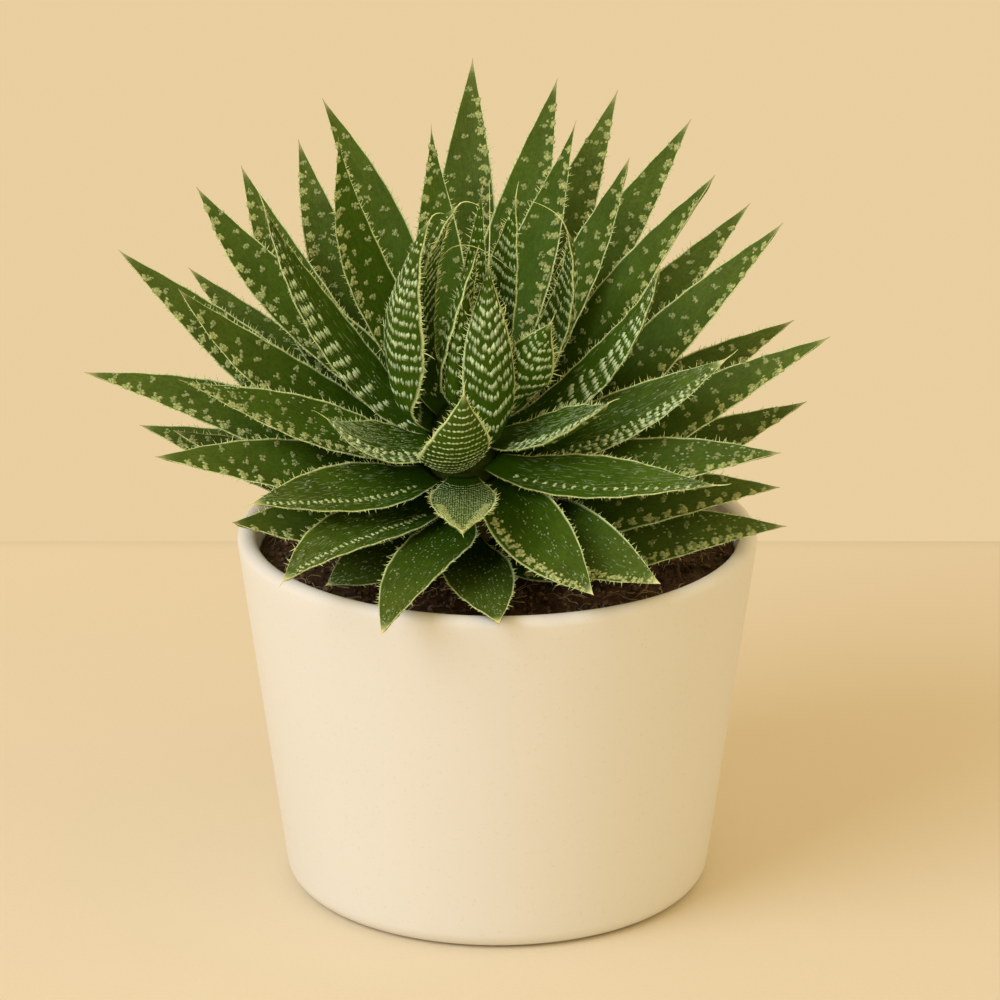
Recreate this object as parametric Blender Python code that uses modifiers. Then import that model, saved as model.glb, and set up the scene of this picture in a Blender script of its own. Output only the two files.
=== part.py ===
"""Potted lace aloe: a tapering pot, its soil, a short leaning stem, the heart and the single leaves.

Metres, +Z up. The origin is the middle of the pot's flat underside, and -Y is the plant's front,
the way the rosette leans. Sizes along a leaf are written in millimetres and turned into metres by MM.
"""

import math
from collections import namedtuple

import bpy
import numpy as np
from mathutils import Vector

MM = 0.001
GAP = 0.3

# Pot, in millimetres
POT_HEIGHT = 91.8
RIM_RADIUS = 65.0
FOOT_RADIUS = 52.5
FOOT_ROUND = 5.0
WALL = 4.8
FLOOR = 6.0
POT_STEPS = 56
LIP_POINTS, FOOT_POINTS = 7, 4

# Soil, which ends below the lip and rises a little round the stem
SOIL_TOP = 85.6
SOIL_SWELL = 1.2
SOIL_LUMPS = 0.5
SOIL_STEPS = 40
SOIL_RINGS = (10.0, 20.0, 30.0, 40.0, 50.0)
SOIL_WAVE_X, SOIL_WAVE_Y, SOIL_RIPPLE_X, SOIL_RIPPLE_Y = 3.2, 3.7, 1.9, 2.4

# Stem: heights and radii along its own axis, counted from the crown where the rosette opens
CROWN = (-8.5, -10.0, 107.5)
LEAN = math.radians(22.0)
STEM_PROFILE = ((-38.0, 9.5), (-16.0, 9.5), (8.0, 9.0), (19.0, 6.5), (23.0, 3.4))
STEM_STEPS = 24

# The spiral of leaf seats: each seat is turned on by the golden angle and sits a little higher
GOLDEN_ANGLE = 137.508
FIRST_HEADING = 118.0
LOWEST_SEAT = -16.0
HIGHEST_SEAT = 22.0
SEATS = 66
MIDDLE_FROM, INNER_FROM = 20, 45
CLIMB = (HIGHEST_SEAT - LOWEST_SEAT) / (SEATS - 1)

# What every leaf has in common, in millimetres or as a share of its length
BASE_WIDTH = 7.0
WIDEST_AT = 0.36
EDGE = 0.6
CHANNEL = 0.13
BASE_THICKNESS = 2.4
THICKNESS = 2.9
DEPTH_MARKS = (0.0, 0.25, 0.55, 0.9)
DEPTH_SHARES = (1.0, 0.9, 0.45)
TIP_CURVE, TIP_SHARPNESS = 2.2, 1.2
SHOULDER_OUT, SHOULDER_LIFT, SHOULDER_DEPTH = 0.55, 0.3, 0.75
BASE_RISE = 0.55
SLOPED_BY, TURNED_BY, ROLLED_BY = 0.25, 0.35, 0.5
PATH_STEPS = 200
FLARE_AT = 0.1
AWN_FROM = 0.955
TEETH_FROM, TEETH_TO = 0.2, 0.86
LONG, MEDIUM = 80.0, 60.0
TOOTH_BASE = 1.4
TOOTH = 1.2
TOOTH_LEAN = 0.36

# Side leaves that rise less than STEEP turn their faces to the back by up to SIDE_ROLL degrees
SIDE_ROLL = 16.0
STEEP = 50.0

# The heart's core on the tip of the stem
HEART_RADIUS = 3.2
HEART_TOP_RADIUS = 1.9
HEART_HEIGHT = 5.0
HEART_SEAT = 1.0
HEART_CLIMB = 0.5
HEART_STEPS = 12

# Colours and roughness
POT_CREAM = (0.80, 0.74, 0.63)
SOIL_BROWN = (0.045, 0.028, 0.018)
STEM_GREEN = (0.16, 0.20, 0.07)
OLD_GREEN = (0.06, 0.13, 0.03)
YOUNG_GREEN = (0.10, 0.19, 0.03)
LEAF_ROUGHNESS, POT_ROUGHNESS, BARK_ROUGHNESS, SOIL_ROUGHNESS = 0.45, 0.55, 0.7, 0.95

# Angle between two faces, in degrees, from which the edge between them is shaded sharp
TURNED_CREASE, SOIL_CREASE, LEAF_CREASE = 40.0, 60.0, 30.0

Leaf = namedtuple("Leaf", "heading rise length width arch sway roll")


def outer_leaf(heading, rise, length, width=17, arch=0, sway=0, roll=0):
    """A full grown leaf of the lowest turns. Heading, rise, arch, sway and roll are in degrees."""
    return Leaf(heading, rise, length, width, arch, sway, roll)


def middle_leaf(heading, rise, length, width=16, arch=0, sway=0, roll=0):
    """A leaf of the middle turns, a little narrower."""
    return Leaf(heading, rise, length, width, arch, sway, roll)


def inner_leaf(heading, rise, length, width=14, arch=45, sway=0, roll=0):
    """A leaf of the upright bulb in the middle, which closes over the heart by its arch."""
    return Leaf(heading, rise, length, width, arch, sway, roll)


# The leaves by seat, oldest first. Seats left out have lost their leaf.
# Heading is where the leaf points: 0 is the plant's right as seen from its front, 90 its back and 270
# its front. Rise is how steeply it climbs from the rosette's floor, and length is in millimetres.
LEAVES = {
    0: outer_leaf(118, 8, 78),
    2: outer_leaf(33, 10, 78),
    3: outer_leaf(164, 12, 75, arch=-12),
    4: outer_leaf(9, 9, 78, arch=-10, sway=-12, roll=8),
    5: outer_leaf(86, 13, 78),
    6: outer_leaf(226, 13, 38),
    7: outer_leaf(16, 17, 81),
    8: outer_leaf(136, 17, 90),
    9: outer_leaf(279, 24, 60),
    10: outer_leaf(53, 18, 78),
    11: outer_leaf(167, 18, 66, arch=-5, roll=10),
    12: outer_leaf(2, 13, 73, arch=-27),
    13: outer_leaf(106, 19, 78),
    15: outer_leaf(30, 16, 87, arch=-12),
    16: outer_leaf(148, 26, 98),
    18: outer_leaf(66, 31, 108),
    19: outer_leaf(206, 19, 56, arch=12),
    20: middle_leaf(10, 31, 93, arch=-9),
    21: middle_leaf(116, 25, 99, sway=-12),
    22: middle_leaf(249, 17, 68, arch=-20, sway=8, roll=16),
    23: middle_leaf(45, 22, 97),
    24: middle_leaf(171, 19, 89, arch=-26),
    25: middle_leaf(307, 18, 68, width=18, roll=24),
    26: middle_leaf(87, 35, 105, width=18),
    27: middle_leaf(228, 18, 65, arch=-16, sway=16, roll=9),
    28: middle_leaf(24, 41, 95),
    29: middle_leaf(125, 26, 94, sway=-12),
    31: middle_leaf(53, 29, 102),
    32: middle_leaf(191, 18, 70, arch=-12),
    33: middle_leaf(350, 19, 74, arch=-14),
    34: middle_leaf(106, 32, 97, sway=16),
    36: middle_leaf(40, 45, 88, sway=-12, roll=-11),
    37: middle_leaf(174, 37, 76, arch=16, sway=-16),
    38: middle_leaf(294, 13, 62, width=17, roll=24),
    39: middle_leaf(72, 36, 95),
    40: middle_leaf(215, 20, 56),
    41: middle_leaf(351, 36, 67, width=14, arch=11, sway=8, roll=15),
    42: middle_leaf(147, 25, 89, sway=-20),
    43: middle_leaf(270, 30, 55),
    44: middle_leaf(50, 44, 77, width=15, arch=3, sway=8, roll=-17),
    45: inner_leaf(184, 26, 66, arch=2),
    46: inner_leaf(330, 20, 68, arch=5),
    47: inner_leaf(95, 42, 77, arch=25),
    49: inner_leaf(354, 57, 72, width=12, roll=25),
    50: inner_leaf(153, 53, 75, arch=41),
    52: inner_leaf(65, 41, 79, arch=11),
    53: inner_leaf(210, 32, 33, arch=18, sway=-36),
    54: inner_leaf(322, 42, 45, arch=18),
    55: inner_leaf(139, 57, 78, sway=-32),
    56: inner_leaf(281, 60, 55, width=17),
    57: inner_leaf(20, 71, 62, arch=61),
    58: inner_leaf(204, 95, 69, width=16, arch=30, sway=-30, roll=15),
    59: inner_leaf(282, 102, 54, width=13, arch=15, sway=-20),
    62: inner_leaf(332, 68, 42, arch=0, sway=-15, roll=-75),
    63: inner_leaf(153, 98, 70, arch=40),
    65: inner_leaf(36, 80, 61, arch=6),
}

HEART_LEAVES = (
    Leaf(heading=150, rise=102, length=53, width=9, arch=0, sway=0, roll=0),
    Leaf(heading=73, rise=78, length=57, width=7, arch=-10, sway=0, roll=0),
    Leaf(heading=255, rise=100, length=43, width=7, arch=0, sway=0, roll=0),
)


def smooth(share):
    """Ease from 0 to 1, level at both ends."""
    share = np.clip(share, 0.0, 1.0)
    return share * share * (3.0 - 2.0 * share)


def clear_scene():
    """Remove every object, mesh and material that the file opened with."""
    for item in list(bpy.data.objects):
        bpy.data.objects.remove(item, do_unlink=True)
    for mesh in list(bpy.data.meshes):
        bpy.data.meshes.remove(mesh)
    for material in list(bpy.data.materials):
        bpy.data.materials.remove(material)


def new_collection(name, hidden=False):
    """Make a collection under the scene."""
    collection = bpy.data.collections.new(name)
    bpy.context.scene.collection.children.link(collection)
    collection.hide_render = hidden
    return collection


def make_material(name, colour, roughness):
    """Make a Principled material of one colour."""
    material = bpy.data.materials.new(name)
    material.use_nodes = True
    shader = material.node_tree.nodes["Principled BSDF"]
    shader.inputs["Base Color"].default_value = (*colour, 1.0)
    shader.inputs["Roughness"].default_value = roughness
    shader.inputs["Metallic"].default_value = 0.0
    material.diffuse_color = (*colour, 1.0)
    return material


def make_object(name, mesh, collection, material=None):
    """Put a mesh into a collection as a named object."""
    item = bpy.data.objects.new(name, mesh)
    collection.objects.link(item)
    if material is not None:
        mesh.materials.append(material)
    return item


def mesh_from(name, vertices, edges, faces):
    """Make a mesh from points in millimetres."""
    mesh = bpy.data.meshes.new(name)
    mesh.from_pydata([Vector(v) * MM for v in vertices], edges, faces)
    mesh.update()
    return mesh


def round_shading(item, degrees):
    """Shade a piece smooth, with sharp edges where two faces meet at more than the given angle."""
    item.data.shade_smooth()
    item.data.set_sharp_from_angle(angle=math.radians(degrees))


def settled(item):
    """Replace an object's mesh by its evaluated mesh, which applies its modifiers."""
    bpy.context.view_layer.update()
    evaluated = item.evaluated_get(bpy.context.evaluated_depsgraph_get())
    mesh = bpy.data.meshes.new_from_object(evaluated)
    item.modifiers.clear()
    item.data = mesh
    return item


def turned(name, profile, steps, collection, material=None):
    """Turn a profile of (radius, height) points round Z. It starts and ends on the axis."""
    points = [(radius, 0.0, height) for radius, height in profile]
    edges = [(i, i + 1) for i in range(len(points) - 1)]
    item = make_object(name, mesh_from(name, points, edges, []), collection, material)
    screw = item.modifiers.new("turn", "SCREW")
    screw.steps = steps
    screw.render_steps = steps
    screw.use_merge_vertices = True
    screw.merge_threshold = 0.00001
    screw.use_smooth_shade = True
    settled(item)
    round_shading(item, TURNED_CREASE)
    return item


def arc(centre, radius, start, end, count):
    """Points of a circular arc in the (radius, height) plane, with angles in degrees from outwards."""
    angles = np.radians(np.linspace(start, end, count))
    return [(centre[0] + radius * math.cos(a), centre[1] + radius * math.sin(a)) for a in angles]


def outer_radius(height):
    """Radius of the pot's straight outer wall at a height."""
    return FOOT_RADIUS + (RIM_RADIUS - FOOT_RADIUS) * height / POT_HEIGHT


def pot_profile():
    """Inside floor, inner wall, rounded lip, outer wall, rounded foot and flat underside, in that order."""
    slant = math.degrees(math.atan2(RIM_RADIUS - FOOT_RADIUS, POT_HEIGHT))
    lip = WALL / 2.0
    lip_height = POT_HEIGHT - lip
    inner_foot = outer_radius(FLOOR) - WALL
    chamfer = FOOT_ROUND / 2.0
    return (
        [(0.0, FLOOR), (inner_foot - chamfer, FLOOR), (inner_foot, FLOOR + chamfer)]
        + arc((outer_radius(lip_height) - lip, lip_height), lip, 180.0, 0.0, LIP_POINTS)
        + arc((outer_radius(FOOT_ROUND) - FOOT_ROUND, FOOT_ROUND), FOOT_ROUND, -slant, -90.0, FOOT_POINTS)
        + [(0.0, 0.0)]
    )


def soil_profile():
    """Top from the middle outwards, then down the pot's inner wall, then back to the middle.

    The pot's wall is flat between its steps, so the soil also stays clear of the flats' middles.
    """
    reach = GAP + RIM_RADIUS * (1.0 - math.cos(math.pi / POT_STEPS))
    edge = outer_radius(SOIL_TOP) - WALL - reach
    inner_foot = outer_radius(FLOOR) - WALL - reach
    top = [(0.0, SOIL_TOP)] + [(radius, SOIL_TOP) for radius in SOIL_RINGS] + [(edge, SOIL_TOP)]
    chamfer = FOOT_ROUND / 2.0
    foot = [(inner_foot, FLOOR + chamfer + GAP), (inner_foot - chamfer, FLOOR + GAP)]
    return top + foot + [(0.0, FLOOR + GAP)]


def swell_soil(item):
    """Raise the soil's top towards the stem, and give it low lumps that fade out at the pot."""
    count = len(item.data.vertices)
    points = np.empty(count * 3)
    item.data.vertices.foreach_get("co", points)
    points = points.reshape(-1, 3)
    x, y = points[:, 0] / MM, points[:, 1] / MM
    far = np.clip(np.hypot(x, y) / SOIL_RINGS[-1], 0.0, 1.0)
    waves = np.sin(x / SOIL_WAVE_X + 1.0) * np.cos(y / SOIL_WAVE_Y)
    ripples = 0.5 * np.sin(x / SOIL_RIPPLE_X - y / SOIL_RIPPLE_Y)
    lift = (SOIL_SWELL * (1.0 - far) + SOIL_LUMPS * (waves + ripples)) * (1.0 - smooth(far))
    on_top = points[:, 2] > (SOIL_TOP - 0.01) * MM
    points[on_top, 2] += lift[on_top] * MM
    item.data.vertices.foreach_set("co", points.ravel())
    item.data.update()


def stem_radius(height):
    """Radius of the stem at a height above the crown."""
    heights, radii = zip(*STEM_PROFILE)
    return float(np.interp(height, heights, radii))


def stem_outline(margin=0.0):
    """Profile of the stem from its top down its side, wider by a margin when it is cut out of the soil."""
    side = [(radius + margin, height) for height, radius in reversed(STEM_PROFILE)]
    top, bottom = STEM_PROFILE[-1][0] + margin, STEM_PROFILE[0][0] - margin
    side[0] = (side[0][0], top)
    side[-1] = (side[-1][0], bottom)
    return [(0.0, top)] + side + [(0.0, bottom)]


def cut(item, cutter, operation="DIFFERENCE", solver="EXACT"):
    """Cut one solid with another, or join the two."""
    boolean = item.modifiers.new(operation.lower(), "BOOLEAN")
    boolean.operation = operation
    boolean.object = cutter
    boolean.solver = solver
    return settled(item)


def seat_heading(seat):
    """Compass direction of a seat round the stem, in degrees from +X."""
    return FIRST_HEADING + GOLDEN_ANGLE * seat


def seat_height(seat):
    """Height of a seat on the stem, counted from the crown."""
    return LOWEST_SEAT + CLIMB * seat


def sideways_roll(leaf):
    """Degrees that a low leaf is rolled about its own length: at the sides its face turns to the back."""
    if leaf.rise >= STEEP:
        return 0.0
    turn = math.radians(leaf.heading)
    return SIDE_ROLL * math.cos(turn) * min(1.0, max(0.0, 1.0 - math.sin(turn)))


def leaf_axes(leaf, shares, start, heading):
    """Middle line of a leaf, and its along, across and up directions, at shares of its length.

    The heading turns from the seat's to the leaf's own over the first third, and then by the leaf's sway.
    The slope eases from just over half the rise up to all of it, and the arch bends it on from end to end.
    The middle line is the running sum of short steps along the leaf. Last, the roll turns across and up.
    """
    swing = (leaf.heading - heading + 180.0) % 360.0 - 180.0

    def direction(share):
        turn = heading + swing * smooth(share / TURNED_BY)
        turn = turn + leaf.sway * smooth((share - TURNED_BY) / (1.0 - TURNED_BY))
        slope = leaf.rise * (BASE_RISE + (1.0 - BASE_RISE) * smooth(share / SLOPED_BY))
        slope = slope + leaf.arch * (share - 0.5)
        turn, slope = np.radians(turn), np.radians(slope)
        along = np.stack([np.cos(slope) * np.cos(turn), np.cos(slope) * np.sin(turn), np.sin(slope)], axis=1)
        across = np.stack([-np.sin(turn), np.cos(turn), 0.0 * turn], axis=1)
        return along, across

    middles = (np.arange(PATH_STEPS) + 0.5) / PATH_STEPS
    steps = direction(middles)[0] * leaf.length / PATH_STEPS
    path = np.vstack([np.zeros(3), np.cumsum(steps, axis=0)])
    marks = np.linspace(0.0, 1.0, PATH_STEPS + 1)
    centre = start + np.stack([np.interp(shares, marks, path[:, axis]) for axis in range(3)], axis=1)
    along, across = direction(shares)
    up = np.cross(along, across)
    roll = np.radians(leaf.roll + sideways_roll(leaf)) * smooth(shares / ROLLED_BY)[:, None]
    return centre, along, np.cos(roll) * across + np.sin(roll) * up, np.cos(roll) * up - np.sin(roll) * across


def half_width(leaf, shares):
    """Half the blade's width: it swells to its widest place by a quarter sine, then narrows to the tip."""
    grown = np.sin(np.pi / 2.0 * np.clip(shares / WIDEST_AT, 0.0, 1.0))
    swelling = BASE_WIDTH + (leaf.width - BASE_WIDTH) * grown
    past = np.clip((shares - WIDEST_AT) / (1.0 - WIDEST_AT), 0.0, 1.0)
    narrowing = leaf.width * (1.0 - past ** TIP_CURVE) ** TIP_SHARPNESS
    return 0.5 * np.where(shares < WIDEST_AT, swelling, narrowing)


def depth(shares):
    """Thickness of the blade over its keel: fullest at a quarter of the length, thin at the tip."""
    return np.interp(shares, DEPTH_MARKS, (BASE_THICKNESS, *(THICKNESS * share for share in DEPTH_SHARES)))


def teeth_on(leaf):
    """Teeth along each edge of a leaf: fewer on a short one."""
    return 6 if leaf.length >= LONG else 5 if leaf.length >= MEDIUM else 4


def leaf_mesh(name, leaf, start, heading):
    """Loft the blade through eight-cornered sections, close its ends, and raise a tooth at each mark.

    A section runs from one edge over the hollow upper face to the other edge, and back under the keel.
    Each tooth is a pyramid on a short piece of the edge. The last section runs out into the awn's point.
    The first one is closed by a fan round its hollow corner, from where all its other corners can be seen.
    """
    places = np.linspace(TEETH_FROM, TEETH_TO, teeth_on(leaf))
    half_tooth = TOOTH_BASE / 2.0 / leaf.length
    shares = np.sort(np.hstack([0.0, FLARE_AT, places - half_tooth, places + half_tooth, AWN_FROM]))
    centre, along, across, up = leaf_axes(leaf, shares, start, heading)
    half = half_width(leaf, shares)
    deep = depth(shares)
    level = 0.0 * half
    raised = CHANNEL * half
    shoulder = SHOULDER_OUT * half
    shoulder_height = SHOULDER_LIFT * raised - SHOULDER_DEPTH * deep
    corners = (
        (half, raised + EDGE / 2.0),
        (level, level),
        (-half, raised + EDGE / 2.0),
        (-half, raised - EDGE / 2.0),
        (-shoulder, shoulder_height),
        (level, -deep),
        (shoulder, shoulder_height),
        (half, raised - EDGE / 2.0),
    )
    rings = np.stack([centre + x[:, None] * across + z[:, None] * up for x, z in corners], axis=1)
    sides = len(corners)
    edge_sides = {2: -1.0, 7: 1.0}
    hollow = 1
    vertices = [tuple(point) for point in rings.reshape(-1, 3)]
    faces = []
    for i in range(len(shares) - 1):
        toothed = np.abs(shares[i] - (places - half_tooth)).min() < 1e-9
        for j in range(sides):
            k = (j + 1) % sides
            quad = (i * sides + j, i * sides + k, (i + 1) * sides + k, (i + 1) * sides + j)
            if toothed and j in edge_sides:
                foot = rings[i:i + 2, [j, k]].mean(axis=(0, 1))
                vertices.append(tuple(foot + edge_sides[j] * TOOTH * across[i] + TOOTH_LEAN * along[i]))
                point = len(vertices) - 1
                faces += [(quad[n], quad[(n + 1) % 4], point) for n in range(4)]
            else:
                faces += [quad[:3], (quad[0], quad[2], quad[3])]
    tip = leaf_axes(leaf, np.ones(1), start, heading)[0][0]
    vertices.append(tuple(tip))
    point = len(vertices) - 1
    last = (len(shares) - 1) * sides
    faces += [(last + j, last + (j + 1) % sides, point) for j in range(sides)]
    faces += [(hollow, (j + 1) % sides, j) for j in range(hollow + 1, sides)]
    return mesh_from(name, vertices, [], faces)


def leaf_colour(seat):
    """Green of a leaf by its age: older leaves are darker and duller, the inner ones fresher."""
    age = seat / (SEATS - 1.0)
    oldest, youngest = np.array(OLD_GREEN), np.array(YOUNG_GREEN)
    return tuple(oldest + (youngest - oldest) * age)


def build_pot(collection):
    """The pot, one turned piece."""
    material = make_material("pot ceramic", POT_CREAM, POT_ROUGHNESS)
    return turned("pot", pot_profile(), POT_STEPS, collection, material)


def build_soil(collection, cutters, rosette):
    """The soil that fills the pot, with the stem's hole."""
    material = make_material("potting soil", SOIL_BROWN, SOIL_ROUGHNESS)
    soil = turned("soil", soil_profile(), SOIL_STEPS, collection, material)
    swell_soil(soil)
    hole = turned("stem_hole", stem_outline(GAP), STEM_STEPS, cutters)
    hole.parent = rosette
    hole.hide_render = True
    hole.display_type = "WIRE"
    cut(soil, hole)
    round_shading(soil, SOIL_CREASE)
    return soil


def build_stem(collection, rosette):
    """The short stem, standing in the soil and leaning to the front."""
    material = make_material("stem bark", STEM_GREEN, BARK_ROUGHNESS)
    stem = turned("stem", stem_outline(), STEM_STEPS, collection, material)
    stem.parent = rosette
    return stem


def build_leaf(seat, leaf, collection, rosette):
    """One single leaf, a hair clear of the stem at its seat."""
    heading, height = seat_heading(seat), seat_height(seat)
    radius = stem_radius(height) + GAP
    turn = math.radians(heading)
    start = np.array([radius * math.cos(turn), radius * math.sin(turn), height])
    ring = "outer" if seat < MIDDLE_FROM else "middle" if seat < INNER_FROM else "inner"
    name = f"{ring}_leaf_{seat:02d}"
    item = make_object(name, leaf_mesh(name, leaf, start, heading), collection)
    item.data.materials.append(make_material(name + " green", leaf_colour(seat), LEAF_ROUGHNESS))
    item.parent = rosette
    round_shading(item, LEAF_CREASE)
    return item


def build_heart(collection, cutters, rosette):
    """The youngest leaves, which still grow out of one small core on the tip of the stem.

    EXACT loses a piece where these thin leaves cross each other at their roots, so MANIFOLD joins them.
    """
    foot = STEM_PROFILE[-1][0] + GAP
    profile = [(0.0, foot + HEART_HEIGHT), (HEART_TOP_RADIUS, foot + HEART_HEIGHT)]
    profile += [(HEART_RADIUS, foot + HEART_HEIGHT / 2.0), (HEART_RADIUS, foot), (0.0, foot)]
    material = make_material("heart green", YOUNG_GREEN, LEAF_ROUGHNESS)
    heart = turned("heart", profile, HEART_STEPS, collection, material)
    for number, leaf in enumerate(HEART_LEAVES):
        turn = math.radians(leaf.heading)
        height = foot + HEART_HEIGHT / 2.0 + HEART_CLIMB * number
        start = np.array([HEART_SEAT * math.cos(turn), HEART_SEAT * math.sin(turn), height])
        name = f"heart_leaf_{number}"
        young = make_object(name, leaf_mesh(name, leaf, start, leaf.heading), cutters)
        cut(heart, young, "UNION", "MANIFOLD")
        bpy.data.objects.remove(young, do_unlink=True)
    heart.parent = rosette
    round_shading(heart, LEAF_CREASE)
    return heart


def build():
    """Build the whole plant in its pot."""
    clear_scene()
    collection = new_collection("Potted lace aloe")
    cutters = new_collection("Cutters", hidden=True)
    rosette = bpy.data.objects.new("rosette", None)
    rosette.location = Vector(CROWN) * MM
    rosette.rotation_euler = (LEAN, 0.0, 0.0)
    collection.objects.link(rosette)
    build_pot(collection)
    build_soil(collection, cutters, rosette)
    build_stem(collection, rosette)
    build_heart(collection, cutters, rosette)
    for seat, leaf in LEAVES.items():
        build_leaf(seat, leaf, collection, rosette)


build()
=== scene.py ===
# %% [markdown]
# A lace aloe in a plain cream pot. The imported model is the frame: every piece below stands for one of its
# nodes and keeps that node's place. The frame's own solids are plain, so each leaf, the soil, the stem
# and the pot are worked out again here as fine surfaces, and get their markings, teeth and finish.

# %% Load the frame
import math
from collections import namedtuple
from functools import partial

import bpy
import numpy as np
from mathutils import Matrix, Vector


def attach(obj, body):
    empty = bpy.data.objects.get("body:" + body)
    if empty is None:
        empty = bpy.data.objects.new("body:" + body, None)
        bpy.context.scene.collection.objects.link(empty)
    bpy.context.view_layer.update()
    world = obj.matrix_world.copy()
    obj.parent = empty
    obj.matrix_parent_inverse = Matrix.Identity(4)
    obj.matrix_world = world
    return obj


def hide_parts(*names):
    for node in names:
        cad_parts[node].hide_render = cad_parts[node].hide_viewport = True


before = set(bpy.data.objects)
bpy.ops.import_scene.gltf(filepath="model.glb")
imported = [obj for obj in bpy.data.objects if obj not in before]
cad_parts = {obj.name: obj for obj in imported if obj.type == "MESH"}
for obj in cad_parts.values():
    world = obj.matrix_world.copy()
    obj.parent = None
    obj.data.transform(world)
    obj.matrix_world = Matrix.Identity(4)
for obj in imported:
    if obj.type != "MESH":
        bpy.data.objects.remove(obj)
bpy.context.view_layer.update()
MM = 0.001

# %% [markdown]
# Every surface below is an array of points and an array of faces. A piece could be built with modelling
# commands, but arrays are quicker and say exactly how the shape depends on its sizes. A part is such a
# surface with some numbers per point that its material reads, and a piece is several parts in one mesh.

# %% Parts and pieces
Part = namedtuple("Part", "points quads triangles values")


def full_turn(count):
    """Even angles once round, in radians."""
    return np.arange(count) * 2.0 * np.pi / count


def closed_grid(rows, columns):
    """Faces of rings of points stored row by row: quads between the rings and a fan over each end.

    The fans meet at the two points that are stored after the rings, one for the first and one for the last.
    """
    row, around = np.arange(rows - 1)[:, None] * columns, np.arange(columns)
    following = (around + 1) % columns
    corners = (row + around, row + following, row + columns + following, row + columns + around)
    last, end = (rows - 1) * columns, np.full(columns, rows * columns)
    first_fan = np.column_stack([following, around, end])
    last_fan = np.column_stack([last + around, last + following, end + 1])
    return np.stack(corners, axis=-1).reshape(-1, 4), np.vstack([first_fan, last_fan])


def outward(part):
    """The same part with its faces turned round if they point inwards.

    They do when six times the volume inside is negative: the sum of each triangle's triple product.
    """
    halves = np.vstack([part.quads[:, [0, 1, 2]], part.quads[:, [0, 2, 3]], part.triangles])
    a, b, c = (part.points[halves[:, k]] for k in range(3))
    if np.einsum("ij,ij->", a, np.cross(b, c)) >= 0.0:
        return part
    return part._replace(quads=part.quads[:, ::-1], triangles=part.triangles[:, ::-1])


def joined(parts):
    """Several parts as one: the points are stacked and the face numbers moved on."""
    starts = np.cumsum([0] + [len(part.points) for part in parts[:-1]])
    quads = np.vstack([part.quads + start for part, start in zip(parts, starts)])
    triangles = np.vstack([part.triangles + start for part, start in zip(parts, starts)])
    values = {key: np.concatenate([part.values[key] for part in parts]) for key in parts[0].values}
    return Part(np.vstack([part.points for part in parts]), quads, triangles, values)


def in_scene(name, data):
    """A new object that shows the given mesh, lamp or camera."""
    shown = bpy.data.objects.new(name, data)
    bpy.context.scene.collection.objects.link(shown)
    return shown


def make_piece(name, part, material):
    """Put a part, in millimetres, into a smooth shaded mesh object that rides on the one body."""
    corners = np.concatenate([part.quads.ravel(), part.triangles.ravel()]).astype(np.int32)
    quad_starts = np.arange(len(part.quads)) * 4
    triangle_starts = 4 * len(part.quads) + np.arange(len(part.triangles)) * 3
    starts = np.concatenate([quad_starts, triangle_starts]).astype(np.int32)
    mesh = bpy.data.meshes.new(name)
    mesh.vertices.add(len(part.points))
    mesh.vertices.foreach_set("co", (part.points * MM).ravel())
    mesh.loops.add(len(corners))
    mesh.loops.foreach_set("vertex_index", corners)
    mesh.polygons.add(len(starts))
    mesh.polygons.foreach_set("loop_start", starts)
    for key, numbers in part.values.items():
        kind, field = ("FLOAT", "value") if numbers.ndim == 1 else ("FLOAT_VECTOR", "vector")
        mesh.attributes.new(key, kind, "POINT").data.foreach_set(field, numbers.ravel())
    mesh.update(calc_edges=True)
    mesh.validate()
    mesh.shade_smooth()
    mesh.materials.append(material)
    piece = in_scene(name, mesh)
    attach(piece, "root")
    return piece


def smooth(share):
    """Ease from 0 to 1, level at both ends: 3 x squared minus 2 x cubed."""
    share = np.clip(share, 0.0, 1.0)
    return share * share * (3.0 - 2.0 * share)


def unit(vectors):
    """Each vector divided by its own length."""
    return vectors / np.linalg.norm(vectors, axis=-1, keepdims=True)


print("helpers for parts and pieces are ready")

# %% [markdown]
# Small solids are repeated thousands of times: dashes, teeth, crumbs. Each is made once as a template with
# a few faces, and stamped by carrying its points with the three axes of every copy.

# %% Stamped repeats


def stamped(template, places, axes, values):
    """Copies of a template: place + x times the first axis + y times the second + z times the third."""
    points = places[:, None, :] + np.einsum("tk,nkj->ntj", template.points, axes)
    moved = (np.arange(len(places)) * len(template.points))[:, None, None]
    quads = (template.quads[None] + moved).reshape(-1, 4)
    triangles = (template.triangles[None] + moved).reshape(-1, 3)
    values = {key: np.repeat(numbers, len(template.points), axis=0) for key, numbers in values.items()}
    return Part(points.reshape(-1, 3), quads, triangles, values)


def capped_rings(rings, sides, bottom, top):
    """Template of (radius, height) rings on the unit circle, closed by a point below and a point on top."""
    circle = np.column_stack([np.cos(full_turn(sides)), np.sin(full_turn(sides))])
    layers = [np.column_stack([radius * circle, np.full(sides, height)]) for radius, height in rings]
    points = np.vstack(layers + [[[0.0, 0.0, bottom]], [[0.0, 0.0, top]]])
    return Part(points, *closed_grid(len(rings), sides), {})


TICK = capped_rings(((1.0, -0.1),), 5, bottom=-0.4, top=1.0)
BRISTLE = capped_rings(((1.0, 0.0), (0.6, 0.5)), 4, bottom=-0.2, top=1.0)
STONE = capped_rings(((0.75, -0.6), (1.0, 0.05), (0.6, 0.7)), 5, bottom=-1.0, top=1.0)
print("points of the tick, the bristle and the stone:", [len(t.points) for t in (TICK, BRISTLE, STONE)])

# %% [markdown]
# Materials are node graphs. A tiny helper adds a node and sets it, so that each finish below reads as a
# list of what it is made of: noise for cloudiness, ramps for colour, bump for the feel of the surface.

# %% Material helpers


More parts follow.
